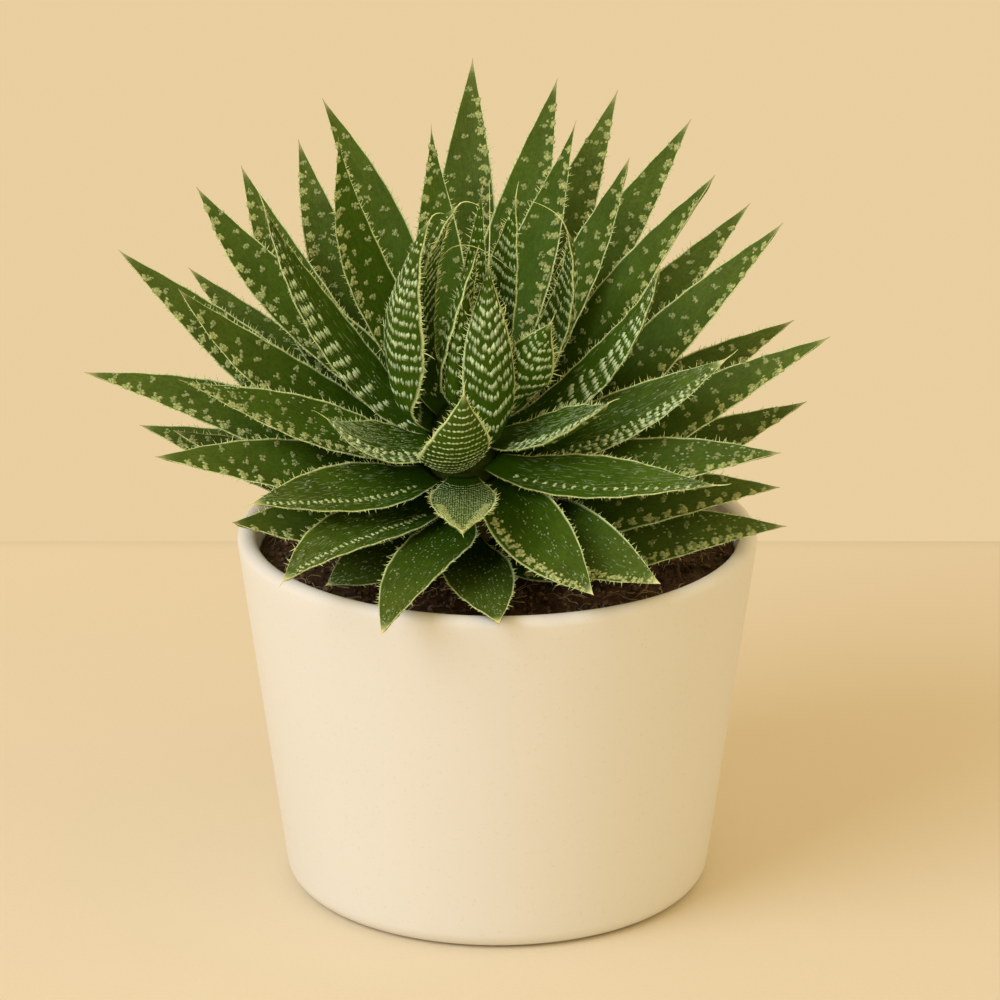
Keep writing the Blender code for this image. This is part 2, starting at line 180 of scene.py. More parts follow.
def new_material(name, roughness, **constants):
    """A Principled material whose constant sockets are set straight on the shader."""
    material = bpy.data.materials.new(name)
    material.use_nodes = True
    shader = material.node_tree.nodes["Principled BSDF"]
    shader.inputs["Roughness"].default_value = roughness
    for socket, number in constants.items():
        shader.inputs[socket.replace("_", " ")].default_value = number
    return material, material.node_tree, shader


def add(tree, kind, sockets=None, **settings):
    """Add a node, set its properties, and feed its sockets with numbers or with other nodes' outputs."""
    node = tree.nodes.new(kind)
    for key, setting in settings.items():
        setattr(node, key, setting)
    for key, source in (sockets or {}).items():
        if isinstance(source, bpy.types.NodeSocket):
            tree.links.new(source, node.inputs[key])
        else:
            node.inputs[key].default_value = source
    return node


def noise(tree, vector, scale, detail=3.0, roughness=0.55):
    """Cloudy noise from 0 to 1 on a vector."""
    sockets = {"Vector": vector, "Scale": scale, "Detail": detail, "Roughness": roughness}
    return add(tree, "ShaderNodeTexNoise", sockets).outputs["Fac"]


def stretch(tree, factor, low, high, to_low=0.0, to_high=1.0):
    """Carry the stretch from low to high over to another one, and stop at its ends."""
    sockets = {"Value": factor, "From Min": low, "From Max": high, "To Min": to_low, "To Max": to_high}
    return add(tree, "ShaderNodeMapRange", sockets).outputs["Result"]


def drift(tree, vector, scale, low, high, **kind):
    """A number that drifts from low to high in clouds: noise, stretched from its middle part."""
    return stretch(tree, noise(tree, vector, scale, **kind), 0.3, 0.7, low, high)


def ramp(tree, factor, *stops):
    """A colour ramp: stops are (place, colour) pairs."""
    node = add(tree, "ShaderNodeValToRGB", {"Fac": factor})
    elements = node.color_ramp.elements
    while len(elements) < len(stops):
        elements.new(0.5)
    for element, (place, colour) in zip(elements, stops):
        element.position = place
        element.color = (*colour, 1.0)
    return node.outputs["Color"]


def mix(tree, factor, first, second):
    """Mix two colours, each a socket or three numbers."""
    first, second = (c if isinstance(c, bpy.types.NodeSocket) else (*c, 1.0) for c in (first, second))
    return add(tree, "ShaderNodeMix", {0: factor, 6: first, 7: second}, data_type="RGBA").outputs[2]


def product(tree, first, second, **settings):
    """Two numbers multiplied."""
    return add(tree, "ShaderNodeMath", {0: first, 1: second}, operation="MULTIPLY", **settings).outputs[0]


def split(tree, vector):
    """The three numbers of a vector, each on its own."""
    return add(tree, "ShaderNodeSeparateXYZ", {"Vector": vector}).outputs


def bump(tree, shader, height, strength, distance):
    """Let a height from 0 to 1 tilt the shading of the surface."""
    sockets = {"Height": height, "Strength": strength, "Distance": distance}
    tree.links.new(add(tree, "ShaderNodeBump", sockets).outputs["Normal"], shader.inputs["Normal"])


def object_place(tree):
    """The point's own place in metres, which never slides when the camera moves."""
    return add(tree, "ShaderNodeTexCoord").outputs["Object"]


print("helpers for materials are ready")

# %% [markdown]
# The camera stands 1.5 m away and looks down by about 20 degrees with a long lens, as the pot's oval rim
# shows. The lens follows from the size of the rim in the picture.

# %% Camera
CAMERA_AIM = (0.00066, 0.0, 0.0989)
CAMERA_DISTANCE = 1.5
CAMERA_ABOVE = math.radians(19.9)
LENS, SENSOR = 217.3, 36.0

camera = in_scene("camera", bpy.data.cameras.new("camera"))
camera.data.lens = LENS
camera.data.sensor_width = SENSOR
camera.location = (
    CAMERA_AIM[0],
    CAMERA_AIM[1] - CAMERA_DISTANCE * math.cos(CAMERA_ABOVE),
    CAMERA_AIM[2] + CAMERA_DISTANCE * math.sin(CAMERA_ABOVE),
)
camera.rotation_euler = (math.pi / 2.0 - CAMERA_ABOVE, 0.0, 0.0)
bpy.context.scene.camera = camera
bpy.context.scene.view_settings.view_transform = "Standard"
print("camera at", tuple(round(v, 3) for v in camera.location))

# %% [markdown]
# The stage is one pale table top. It ends where the wall of the picture begins, and the world's warm
# colour is the wall, so nothing stands in the way when the plant is looked at from behind.

# %% Stage and light
TABLE_BACK, WALL_SHADOW_WIDTH, TABLE_REACH = 0.238, 0.007, 3.0
WALL_COLOUR = (0.82, 0.625, 0.35)
TABLE_COLOUR = (0.78, 0.704, 0.545)
# The third shade is a painted shadow: the table darkens along the strip where it meets the wall.
TABLE_SHADES = (0.985, 1.01, 0.91)  # of the mottle's dark and pale parts, and of the seam by the wall
# Name, place and size in metres, power in watts, and colour.
LIGHTS = (
    ("window", (-1.35, -1.15, 1.5), 1.4, 26.0, (0.85, 0.93, 1.10)),
    ("room", (1.2, -0.9, 2.0), 1.6, 3.8, (1.0, 0.76, 0.36)),
)


def make_table():
    """A flat plate with a faint mottle, and a painted shadow a shade darker in the last millimetres before the
    wall.
    """
    corners = [(-TABLE_REACH, -TABLE_REACH, 0.0), (TABLE_REACH, -TABLE_REACH, 0.0)]
    corners += [(TABLE_REACH, TABLE_BACK, 0.0), (-TABLE_REACH, TABLE_BACK, 0.0)]
    mesh = bpy.data.meshes.new("table_top")
    mesh.from_pydata(corners, [], [(0, 1, 2, 3)])
    material, tree, shader = new_material("table top", 0.7)
    place = object_place(tree)
    dark, pale, wall_shadow = (tuple(shade * v for v in TABLE_COLOUR) for shade in TABLE_SHADES)
    mottle = ramp(tree, noise(tree, place, 9.0), (0.3, dark), (0.7, pale))
    # Painted shadow: the table top darkens over its last millimetres towards the wall, as if the wall's contact
    # shadow lay on it.
    in_wall_shadow = stretch(tree, split(tree, place)["Y"], TABLE_BACK - WALL_SHADOW_WIDTH, TABLE_BACK)
    tree.links.new(mix(tree, in_wall_shadow, mottle, wall_shadow), shader.inputs["Base Color"])
    bump(tree, shader, noise(tree, place, 900.0, detail=2.0), 0.15, 0.0004)
    mesh.materials.append(material)
    table = in_scene("table_top", mesh)


def make_light(name, place, size, power, colour):
    """A square soft light that faces the plant."""
    data = bpy.data.lights.new(name, "AREA")
    data.size = size
    data.energy = power
    data.color = colour
    lamp = in_scene(name, data)
    lamp.location = place
    lamp.rotation_euler = Vector(place).to_track_quat("Z", "Y").to_euler()


make_table()
for light in LIGHTS:
    make_light(*light)
world = bpy.data.worlds.new("room")
bpy.context.scene.world = world
world.use_nodes = True
world.node_tree.nodes["Background"].inputs["Color"].default_value = (*WALL_COLOUR, 1.0)
world.node_tree.nodes["Background"].inputs["Strength"].default_value = 1.0
print("stage and", len(LIGHTS), "lights are set")

# %% [markdown]
# The pot is thrown or cast as one body of revolution, so its wall is a profile carried round the axis.
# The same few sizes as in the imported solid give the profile; only the number of points is larger.

# %% Pot
POT_HEIGHT, RIM_RADIUS, FOOT_RADIUS = 91.8, 65.0, 52.5
FOOT_ROUND, WALL, FLOOR = 5.0, 4.8, 6.0
GLAZE_DARK, GLAZE_PALE, PORE = (0.80, 0.80, 0.765), (0.825, 0.825, 0.79), (0.70, 0.67, 0.58)


def outer_radius(height):
    """Radius of the pot's straight outer wall: it grows evenly from the foot to the rim."""
    return FOOT_RADIUS + (RIM_RADIUS - FOOT_RADIUS) * height / POT_HEIGHT


def arc(centre, radius, start, end, count):
    """Points of a circular arc: centre plus radius times the cosine and sine of each angle."""
    angles = np.radians(np.linspace(start, end, count))
    return np.column_stack([centre[0] + radius * np.cos(angles), centre[1] + radius * np.sin(angles)])


def straight(start, end, count):
    """Evenly spaced points between two places, both ends left out."""
    shares = (np.arange(count) + 1.0)[:, None] / (count + 1.0)
    return np.array(start) + (np.array(end) - np.array(start)) * shares


def pot_profile():
    """Inside floor, inner wall, round lip, outer wall, round foot, in (radius, height) points."""
    slant = math.degrees(math.atan2(RIM_RADIUS - FOOT_RADIUS, POT_HEIGHT))
    lip, hollow_round = WALL / 2.0, FOOT_ROUND / 2.0
    lip_height, inner = POT_HEIGHT - lip, outer_radius(FLOOR) - WALL
    inside = arc((inner - hollow_round, FLOOR + hollow_round), hollow_round, -90.0, 0.0, 6)
    rim = arc((outer_radius(lip_height) - lip, lip_height), lip, 180.0, 0.0, 17)
    foot = arc((outer_radius(FOOT_ROUND) - FOOT_ROUND, FOOT_ROUND), FOOT_ROUND, -slant, -90.0, 10)
    return np.vstack([
        straight((0.0, FLOOR), inside[0], 4), inside,
        straight(inside[-1], rim[0], 14), rim,
        straight(rim[-1], foot[0], 24), foot,
        straight(foot[-1], (0.0, 0.0), 6),
    ])


def turned(profile, steps):
    """Carry a (radius, height) profile round Z: x and y are radius times cosine and sine. Poles are closed."""
    angles = full_turn(steps)
    radius, height = profile[:, :1], profile[:, 1:]
    flat = np.broadcast_to(height, (len(profile), steps))
    points = np.stack([radius * np.cos(angles), radius * np.sin(angles), flat], axis=-1).reshape(-1, 3)
    poles = np.array([[0.0, 0.0, profile[0, 1]], [0.0, 0.0, profile[-1, 1]]])
    return outward(Part(np.vstack([points, poles]), *closed_grid(len(profile), steps), {}))


def pot_finish():
    """Matt cream glaze: nearly even, with a faint cloud and a fine dust of pores."""
    material, tree, shader = new_material("pot cream", 0.52, Specular_IOR_Level=0.35)
    place = object_place(tree)
    cloud = ramp(tree, noise(tree, place, 14.0, detail=4.0), (0.3, GLAZE_DARK), (0.7, GLAZE_PALE))
    pores = stretch(tree, noise(tree, place, 1100.0, detail=2.0), 0.62, 0.72, 0.0, 0.35)
    tree.links.new(mix(tree, pores, cloud, PORE), shader.inputs["Base Color"])
    tree.links.new(drift(tree, place, 30.0, 0.46, 0.58), shader.inputs["Roughness"])
    bump(tree, shader, noise(tree, place, 420.0), 0.10, 0.0004)
    return material


pot = make_piece("cream_pot", turned(pot_profile(), 192), pot_finish())
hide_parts("pot")
print("pot:", len(pot.data.polygons), "faces")

# %% [markdown]
# Potting mix is a bed of dark crumbs. The bed is a turned surface whose top is raised by a sum of waves,
# and on it lie over two thousand loose crumbs and some curly root fibres, as between the photographed leaves.

# %% Soil bed
SOIL_TOP, SOIL_SWELL, SOIL_ROUGH, SOIL_CLEAR = 85.6, 1.2, 0.8, 0.45
SOIL_RADIUS = outer_radius(SOIL_TOP) - WALL
SOIL_DARK, SOIL_PALE = (0.012, 0.007, 0.003), (0.14, 0.068, 0.028)
RELIEF_WAVES, RELIEF_SHORT, RELIEF_LONG, RELIEF_POWER = 46, 1.6, 13.0, 0.6
relief_draw = np.random.default_rng(7)
relief_lengths = np.geomspace(RELIEF_SHORT, RELIEF_LONG, RELIEF_WAVES)
relief_turns = relief_draw.uniform(0.0, 2.0 * np.pi, RELIEF_WAVES)
relief_phases = relief_draw.uniform(0.0, 2.0 * np.pi, RELIEF_WAVES)
relief_heights = relief_lengths ** RELIEF_POWER


def relief(x, y):
    """Rough ground from about -1 to 1: a sum of waves of all lengths, each in its own direction."""
    reach = np.multiply.outer(x, np.cos(relief_turns)) + np.multiply.outer(y, np.sin(relief_turns))
    waves = np.sin(2.0 * np.pi * reach / relief_lengths + relief_phases)
    return (waves * relief_heights).sum(axis=-1) / relief_heights.sum() * 3.0


def soil_height(x, y):
    """Height of the bed's top: the fill line, a low swell in the middle, and rough ground, calm at the wall."""
    far = np.hypot(x, y) / SOIL_RADIUS
    swell = SOIL_SWELL * (1.0 - far) * (1.0 - smooth(far))
    return SOIL_TOP + swell + SOIL_ROUGH * relief(x, y) * (1.0 - smooth(far * 6 - 5))


def soil_bed():
    """The turned bed, from the middle of its top over the edge and down the pot's wall to the floor."""
    foot = outer_radius(FLOOR) - WALL - SOIL_CLEAR - FOOT_ROUND / 2.0
    top = np.column_stack([np.linspace(0.4, SOIL_RADIUS - SOIL_CLEAR, 84), np.full(84, SOIL_TOP)])
    side = straight(top[-1], (foot + FOOT_ROUND / 2.0, FLOOR + FOOT_ROUND / 2.0), 3)
    bottom = np.array([[foot, FLOOR + 0.4], [0.4, FLOOR + 0.4]])
    part = turned(np.vstack([top, side, bottom]), 200)
    upper = part.points[:, 2] > SOIL_TOP - 0.01
    part.points[upper, 2] = soil_height(part.points[upper, 0], part.points[upper, 1])
    return part


def soil_finish(name, dark, pale, scale):
    """Damp potting mix: cloudy between a dark and a paler brown, and rough all over."""
    material, tree, shader = new_material(name, 0.9, Specular_IOR_Level=0.2)
    place = object_place(tree)
    cloud = noise(tree, place, scale, detail=5.0, roughness=0.7)
    tree.links.new(ramp(tree, cloud, (0.32, dark), (0.72, pale)), shader.inputs["Base Color"])
    bump(tree, shader, noise(tree, place, 1500.0, detail=4.0, roughness=0.7), 0.8, 0.0006)
    return material


bed = make_piece("soil_bed", soil_bed(), soil_finish("soil", SOIL_DARK, SOIL_PALE, 240.0))
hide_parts("soil")
print("soil bed:", len(bed.data.polygons), "faces")

# %% [markdown]
# Crumbs and fibres are what makes the bed read as soil and not as brown paint. Crumbs are stamped from a
# small rough stone, turned and sized at random. Fibres are thin tubes along curly paths on the ground.

# %% Crumbs and fibres
CRUMBS, CRUMB_SMALL, CRUMB_GROWTH, CRUMB_POWER = 2600, 0.35, 0.85, 2.5
CRUMB_DARK, CRUMB_PALE = (0.016, 0.010, 0.005), (0.30, 0.19, 0.10)
FIBRES, FIBRE_STEPS, FIBRE_WANDER = 240, 12, 0.42
FIBRE_LENGTHS, FIBRE_RADII, FIBRE_LIFTS = (4.0, 12.0), (0.15, 0.06), (0.2, 1.1)
FIBRE_DARK, FIBRE_PALE = (0.16, 0.10, 0.05), (0.72, 0.56, 0.34)
# The stem leans to the front up to the crown, the middle of the leaves' spiral. No crumb lies near its foot.
CROWN, LEAN = np.array([-8.5, -10.0, 107.5]), math.radians(22.0)
STEM_FOOT = CROWN[:2] + (SOIL_TOP - CROWN[2]) * np.array([0.0, -math.tan(LEAN)])
STEM_CLEAR, WALL_CLEAR = 11.0, 2.0


def turned_axes(draw, count):
    """Random directions: three unit vectors at right angles for each copy."""
    first = unit(draw.normal(size=(count, 3)))
    second = unit(np.cross(first, draw.normal(size=(count, 3))))
    return np.stack([first, second, np.cross(first, second)], axis=1)


def scattered(draw, count):
    """Random places on the soil, evenly over its area: the radius is the root of an even draw."""
    radius = (SOIL_RADIUS - WALL_CLEAR) * np.sqrt(draw.uniform(0.0, 1.0, count))
    angle = draw.uniform(0.0, 2.0 * np.pi, count)
    x, y = radius * np.cos(angle), radius * np.sin(angle)
    keep = np.hypot(x - STEM_FOOT[0], y - STEM_FOOT[1]) > STEM_CLEAR
    return x[keep], y[keep]


def crumbs():
    """Rough little stones, 0.35 to 2.4 mm wide and most of them small, nearly half sunk into the bed."""
    draw = np.random.default_rng(11)
    x, y = scattered(draw, CRUMBS)
    size = CRUMB_SMALL + CRUMB_GROWTH * draw.uniform(0.0, 1.0, len(x)) ** CRUMB_POWER
    squash = draw.uniform(0.5, 1.0, (len(x), 3))
    axes = turned_axes(draw, len(x)) * (size[:, None] * squash)[:, :, None]
    return stamped(STONE, np.column_stack([x, y, soil_height(x, y) + 0.2 * size]), axes, {})


def tube(path, radii, sides):
    """A round tube: rings of the given radii, at right angles to the path, closed at both ends."""
    along = unit(np.gradient(path, axis=0))
    across = unit(np.cross(along, np.array([0.31, 0.22, 0.92])))
    over = np.cross(along, across)
    angles = full_turn(sides)[None, :, None]
    ring = np.cos(angles) * across[:, None, :] + np.sin(angles) * over[:, None, :]
    points = (path[:, None, :] + radii[:, None, None] * ring).reshape(-1, 3)
    return outward(Part(np.vstack([points, path[:1], path[-1:]]), *closed_grid(len(path), sides), {}))


def fibre(draw, x, y):
    """One curly fibre: it starts at a place on the soil, and its heading wanders as it goes."""
    length = draw.uniform(*FIBRE_LENGTHS)
    heading = draw.uniform(0.0, 2.0 * np.pi) + np.cumsum(draw.normal(0.0, FIBRE_WANDER, FIBRE_STEPS))
    walk = np.column_stack([np.cos(heading), np.sin(heading)]) * length / FIBRE_STEPS
    plan = np.array([x, y]) + np.cumsum(walk, axis=0)
    inside = (SOIL_RADIUS - 1.5) / np.maximum(1.0, np.hypot(plan[:, 0], plan[:, 1]))
    plan = plan * np.minimum(1.0, inside)[:, None]
    lift = 0.25 + draw.uniform(*FIBRE_LIFTS) * np.sin(np.linspace(0.0, np.pi, FIBRE_STEPS))
    path = np.column_stack([plan, soil_height(plan[:, 0], plan[:, 1]) + lift])
    return tube(path, np.linspace(*FIBRE_RADII, FIBRE_STEPS) * draw.uniform(0.7, 1.3), 4)


def fibres():
    """All fibres as one part."""
    draw = np.random.default_rng(23)
    x, y = scattered(draw, FIBRES)
    return joined([fibre(draw, *place) for place in zip(x, y)])


grit = make_piece("soil_crumbs", crumbs(), soil_finish("crumbs", CRUMB_DARK, CRUMB_PALE, 330.0))
root_hairs = make_piece("soil_fibres", fibres(), soil_finish("fibres", FIBRE_DARK, FIBRE_PALE, 120.0))
print("crumbs:", len(grit.data.polygons), "faces; fibres:", len(root_hairs.data.polygons), "faces")

# %% [markdown]
# The stem hides under the leaves, but from low down and from behind it shows: a short stout shoot with
# scars where old leaves broke off. It leans to the front, so everything on it is made upright first and
# then leant and lifted into place by one function, which the leaves use too.

# %% Stem
LEAN_MATRIX = np.array([
    [1.0, 0.0, 0.0],
    [0.0, math.cos(LEAN), -math.sin(LEAN)],
    [0.0, math.sin(LEAN), math.cos(LEAN)],
])
STEM_HEIGHTS, STEM_RADII = (-38.0, -16.0, 8.0, 19.0, 23.0), (9.5, 9.5, 9.0, 6.5, 3.4)
SCAR_STEP, SCAR_DEPTH = 3.4, 0.035
SHOOT_DARK, SHOOT_PALE = (0.02, 0.05, 0.004), (0.06, 0.09, 0.015)
BARK_DARK, BARK_PALE, BARKED_TO, GREEN_FROM = (0.06, 0.05, 0.02), (0.24, 0.18, 0.09), 4.0, 22.0


def planted(points):
    """Lean upright points over by the rosette's lean, and move them to the crown."""
    return CROWN + points @ LEAN_MATRIX.T


def stem_part():
    """The stem's profile, with a low ridge at every scar: radius less a ripple that climbs as it turns."""
    heights = np.linspace(STEM_HEIGHTS[-1], STEM_HEIGHTS[0], 90)
    profile = np.column_stack([np.interp(heights, STEM_HEIGHTS, STEM_RADII), heights])
    part = turned(profile, 60)
    x, y, z = part.points.T
    ripple = 0.5 + 0.5 * np.sin(2.0 * np.pi * z / SCAR_STEP + 2.0 * np.arctan2(y, x))
    part.points[:, :2] *= (1.0 - SCAR_DEPTH * ripple)[:, None]
    return part._replace(points=planted(part.points))


def stem_finish():
    """Green shoot above, thin brown bark in streaks near the soil."""
    material, tree, shader = new_material("stem", 0.8, Specular_IOR_Level=0.15)
    place = object_place(tree)
    streaks = noise(tree, place, 180.0, detail=4.0, roughness=0.65)
    green = ramp(tree, streaks, (0.35, SHOOT_DARK), (0.7, SHOOT_PALE))
    bark = ramp(tree, streaks, (0.35, BARK_DARK), (0.7, BARK_PALE))
    low, high = (SOIL_TOP + BARKED_TO) * MM, (SOIL_TOP + GREEN_FROM) * MM
    barked = stretch(tree, split(tree, place)["Z"], low, high, 0.9, 0.0)
    tree.links.new(mix(tree, barked, green, bark), shader.inputs["Base Color"])
    bump(tree, shader, noise(tree, place, 700.0, detail=4.0), 0.5, 0.0006)
    return material


shoot = make_piece("leaf_stem", stem_part(), stem_finish())
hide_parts("stem")
print("stem:", len(shoot.data.polygons), "faces")

# %% [markdown]
# Each leaf is one flat blade, widest at a third of its length, hollow above and full below. The seats climb
# the stem in a spiral of golden angles. The table says where each leaf points, how steeply it rises and
# how long it is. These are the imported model's own sizes, so every leaf lies on the solid that it stands for.

# %% Leaf sizes
GOLDEN_ANGLE, FIRST_HEADING = 137.508, 118.0
LOWEST_SEAT, HIGHEST_SEAT, SEATS = -16.0, 22.0, 66
MIDDLE_FROM, INNER_FROM = 20, 45
Leaf = namedtuple("Leaf", "heading rise length width arch sway roll", defaults=(0, 0, 0))
outer_leaf, middle_leaf = partial(Leaf, width=17), partial(Leaf, width=16)
inner_leaf = partial(Leaf, width=14, arch=45)

# The leaves by seat, oldest first. Seats left out have lost their leaf. A leaf has the usual width of its
# ring, and an inner one the usual arch, unless it says otherwise. Width and length are in millimetres, all
# else in degrees. Heading is where the leaf points: 0 is the plant's right as seen from its front, 90 its
# back and 270 its front. Rise is how steeply it climbs from the rosette's floor. Arch is how much its slope
# grows from base to tip, sway is how far it bends to the side, and roll is its turn about its own length.
LEAVES = {
    0: outer_leaf(118, 8, 78),
    2: outer_leaf(33, 10, 78),
    3: outer_leaf(164, 12, 75, arch=-12),
    4: outer_leaf(9, 9, 78, arch=-10, sway=-12, roll=8),
    5: outer_leaf(86, 13, 78),
    6: outer_leaf(226, 13, 38),
    7: outer_leaf(16, 17, 81),
    8: outer_leaf(136, 17, 90),
    9: outer_leaf(279, 24, 60),
    10: outer_leaf(53, 18, 78),
    11: outer_leaf(167, 18, 66, arch=-5, roll=10),
    12: outer_leaf(2, 13, 73, arch=-27),
    13: outer_leaf(106, 19, 78),
    15: outer_leaf(30, 16, 87, arch=-12),
    16: outer_leaf(148, 26, 98),
    18: outer_leaf(66, 31, 108),
    19: outer_leaf(206, 19, 56, arch=12),
    20: middle_leaf(10, 31, 93, arch=-9),
    21: middle_leaf(116, 25, 99, sway=-12),
    22: middle_leaf(249, 17, 68, arch=-20, sway=8, roll=16),
    23: middle_leaf(45, 22, 97),
    24: middle_leaf(171, 19, 89, arch=-26),
    25: middle_leaf(307, 18, 68, width=18, roll=24),
    26: middle_leaf(87, 35, 105, width=18),
    27: middle_leaf(228, 18, 65, arch=-16, sway=16, roll=9),
    28: middle_leaf(24, 41, 95),
    29: middle_leaf(125, 26, 94, sway=-12),
    31: middle_leaf(53, 29, 102),
    32: middle_leaf(191, 18, 70, arch=-12),
    33: middle_leaf(350, 19, 74, arch=-14),
    34: middle_leaf(106, 32, 97, sway=16),
    36: middle_leaf(40, 45, 88, sway=-12, roll=-11),
    37: middle_leaf(174, 37, 76, arch=16, sway=-16),
    38: middle_leaf(294, 13, 62, width=17, roll=24),
    39: middle_leaf(72, 36, 95),
    40: middle_leaf(215, 20, 56),
    41: middle_leaf(351, 36, 67, width=14, arch=11, sway=8, roll=15),
    42: middle_leaf(147, 25, 89, sway=-20),
    43: middle_leaf(270, 30, 55),
    44: middle_leaf(50, 44, 77, width=15, arch=3, sway=8, roll=-17),
    45: inner_leaf(184, 26, 66, arch=2),
    46: inner_leaf(330, 20, 68, arch=5),
    47: inner_leaf(95, 42, 77, arch=25),
    49: inner_leaf(354, 57, 72, width=12, roll=25),
    50: inner_leaf(153, 53, 75, arch=41),
    52: inner_leaf(65, 41, 79, arch=11),
    53: inner_leaf(210, 32, 33, arch=18, sway=-36),
    54: inner_leaf(322, 42, 45, arch=18),
    55: inner_leaf(139, 57, 78, sway=-32),
    56: inner_leaf(281, 60, 55, width=17),
    57: inner_leaf(20, 71, 62, arch=61),
    58: inner_leaf(204, 95, 69, width=16, arch=30, sway=-30, roll=15),
    59: inner_leaf(282, 102, 54, width=13, arch=15, sway=-20),
    62: inner_leaf(332, 68, 42, arch=0, sway=-15, roll=-75),
    63: inner_leaf(153, 98, 70, arch=40),
    65: inner_leaf(36, 80, 61, arch=6),
}
HEART_LEAVES = (Leaf(150, 102, 53, width=9), Leaf(73, 78, 57, width=7, arch=-10), Leaf(255, 100, 43, width=7))
print("leaves:", len(LEAVES), "and", len(HEART_LEAVES), "in the heart")

# %% [markdown]
# A blade answers one question: where on the leaf is a given share of its length and of its half width, on
# its upper or under face? The leaf's skin, its spots and its teeth all ask it, so they stay together.

# %% Blade
PATH_STEPS = 200
SEAT_GAP, BASE_WIDTH, WIDEST_AT, TIP_CURVE = 0.3, 7.0, 0.36, 2.2
OLD_SHARPNESS, YOUNG_SHARPNESS = 1.2, 1.6
AWN_RADIUS, AWN_TIP, AWN_THINS = 0.17, 0.05, 20.0
BASE_RISE, SLOPED_BY, TURNED_BY, ROLLED_BY = 0.55, 0.25, 0.35, 0.5
SIDE_ROLL, STEEP = 16.0, 50.0
EDGE, CHANNEL, RIM_FULL_AT, DEEPEST_PER_HALF = 0.4, 0.13, 1.5, 1.6
DEPTH_MARKS, DEPTHS = (0.0, 0.25, 0.55, 0.9), (2.4, 2.9, 2.61, 1.305)
WAVE_HEIGHT, WAVE_LENGTH = 0.16, 9.0
STEP = 0.002


class Blade:
    """The surface of one leaf, in upright rosette millimetres."""

    def __init__(self, leaf, start, seat_heading, sharpness=YOUNG_SHARPNESS):
        """Follow the middle line in short steps, and keep its place and its across and up directions.

        The heading eases from the seat's to the leaf's over the first third and on by the sway, the slope
        eases up to the rise and is bent by the arch, and the roll turns across and up about the length.
        """
        self.leaf, self.length, self.sharpness, self.phase = leaf, leaf.length, sharpness, seat_heading
        self.shares = np.linspace(0.0, 1.0, PATH_STEPS + 1)
        middles = (np.arange(PATH_STEPS) + 0.5) / PATH_STEPS
        steps = self.direction(middles, seat_heading)[0] * leaf.length / PATH_STEPS
        self.centre = start + np.vstack([np.zeros(3), np.cumsum(steps, axis=0)])
        along, across = self.direction(self.shares, seat_heading)
        up = np.cross(along, across)
        heading = math.radians(leaf.heading)
        sideways = SIDE_ROLL * math.cos(heading) * min(1.0, max(0.0, 1.0 - math.sin(heading)))
        turn = leaf.roll + (sideways if leaf.rise < STEEP else 0.0)
        roll = np.radians(turn) * smooth(self.shares / ROLLED_BY)[:, None]
        self.across = np.cos(roll) * across + np.sin(roll) * up
        self.up = np.cos(roll) * up - np.sin(roll) * across

    def direction(self, shares, seat_heading):
        """Along and across directions: cosines and sines of the heading and of the slope."""
        leaf = self.leaf
        swing = (leaf.heading - seat_heading + 180.0) % 360.0 - 180.0
        turn = seat_heading + swing * smooth(shares / TURNED_BY)
        turn = np.radians(turn + leaf.sway * smooth((shares - TURNED_BY) / (1.0 - TURNED_BY)))
        slope = leaf.rise * (BASE_RISE + (1.0 - BASE_RISE) * smooth(shares / SLOPED_BY))
        slope = np.radians(slope + leaf.arch * (shares - 0.5))
        along = np.stack([np.cos(slope) * np.cos(turn), np.cos(slope) * np.sin(turn), np.sin(slope)], axis=1)
        return along, np.stack([-np.sin(turn), np.cos(turn), 0.0 * turn], axis=1)

    def half(self, share):
        """Half width: a quarter sine up to the widest place, then a curve down to the awn's thickness."""
        grown = np.sin(np.pi / 2.0 * np.clip(share / WIDEST_AT, 0.0, 1.0))
        swelling = BASE_WIDTH + (self.leaf.width - BASE_WIDTH) * grown
        past = np.clip((share - WIDEST_AT) / (1.0 - WIDEST_AT), 0.0, 1.0)
        narrowing = self.leaf.width * (1.0 - past ** TIP_CURVE) ** self.sharpness
        awn = AWN_TIP + (AWN_RADIUS - AWN_TIP) * (1.0 - share) * AWN_THINS
        return np.maximum(0.5 * np.where(share < WIDEST_AT, swelling, narrowing), awn)

    def point(self, share, out, face):
        """Surface point: centre, plus out times the half width across, plus the face's height up.

        The upper face rises to the edges by the power 1.5 of out, and its edges wave a little. The under
        face lies below it by a keel that falls off towards them, about with the square of out, and by a rim
        that stays full almost to the edge.
        """
        half = self.half(share)
        place, across, up = ([np.interp(share, self.shares, line[:, k]) for k in range(3)]
                             for line in (self.centre, self.across, self.up))
        inside = np.clip(1.0 - out ** 2, 0.0, 1.0)
        rim = EDGE * np.minimum(1.0, half / RIM_FULL_AT)
        deep = np.minimum(np.interp(share, DEPTH_MARKS, DEPTHS), DEEPEST_PER_HALF * half)
        thick = np.maximum(deep - rim, 0.0) * inside ** 0.9 + rim * np.sqrt(np.clip(1.0 - out ** 8, 0.0, 1.0))
        upper = CHANNEL * half * np.abs(out) ** 1.5
        wave = np.sin(2.0 * np.pi * share * self.length / WAVE_LENGTH + self.phase + 2.0 * out)
        upper = upper + WAVE_HEIGHT * wave * np.abs(out) ** 3 * smooth(share * 6.0) * smooth((1.0 - share) * 8.0)
        height = np.where(face > 0.0, upper, upper - thick)
        return np.stack([place[k] + out * half * across[k] + height * up[k] for k in range(3)], axis=-1)

    def frame(self, share, out, face):
        """Point, and along, across and outward directions there, from small steps over the surface."""
        point = self.point(share, out, face)
        along = self.point(share + STEP, out, face) - self.point(share - STEP, out, face)
        across = self.point(share, out + STEP, face) - self.point(share, out - STEP, face)
        normal = unit(np.cross(along, across)) * np.sign(face)[..., None]
        across = unit(across)
        return point, np.cross(across, normal) * np.sign(face)[..., None], across, normal


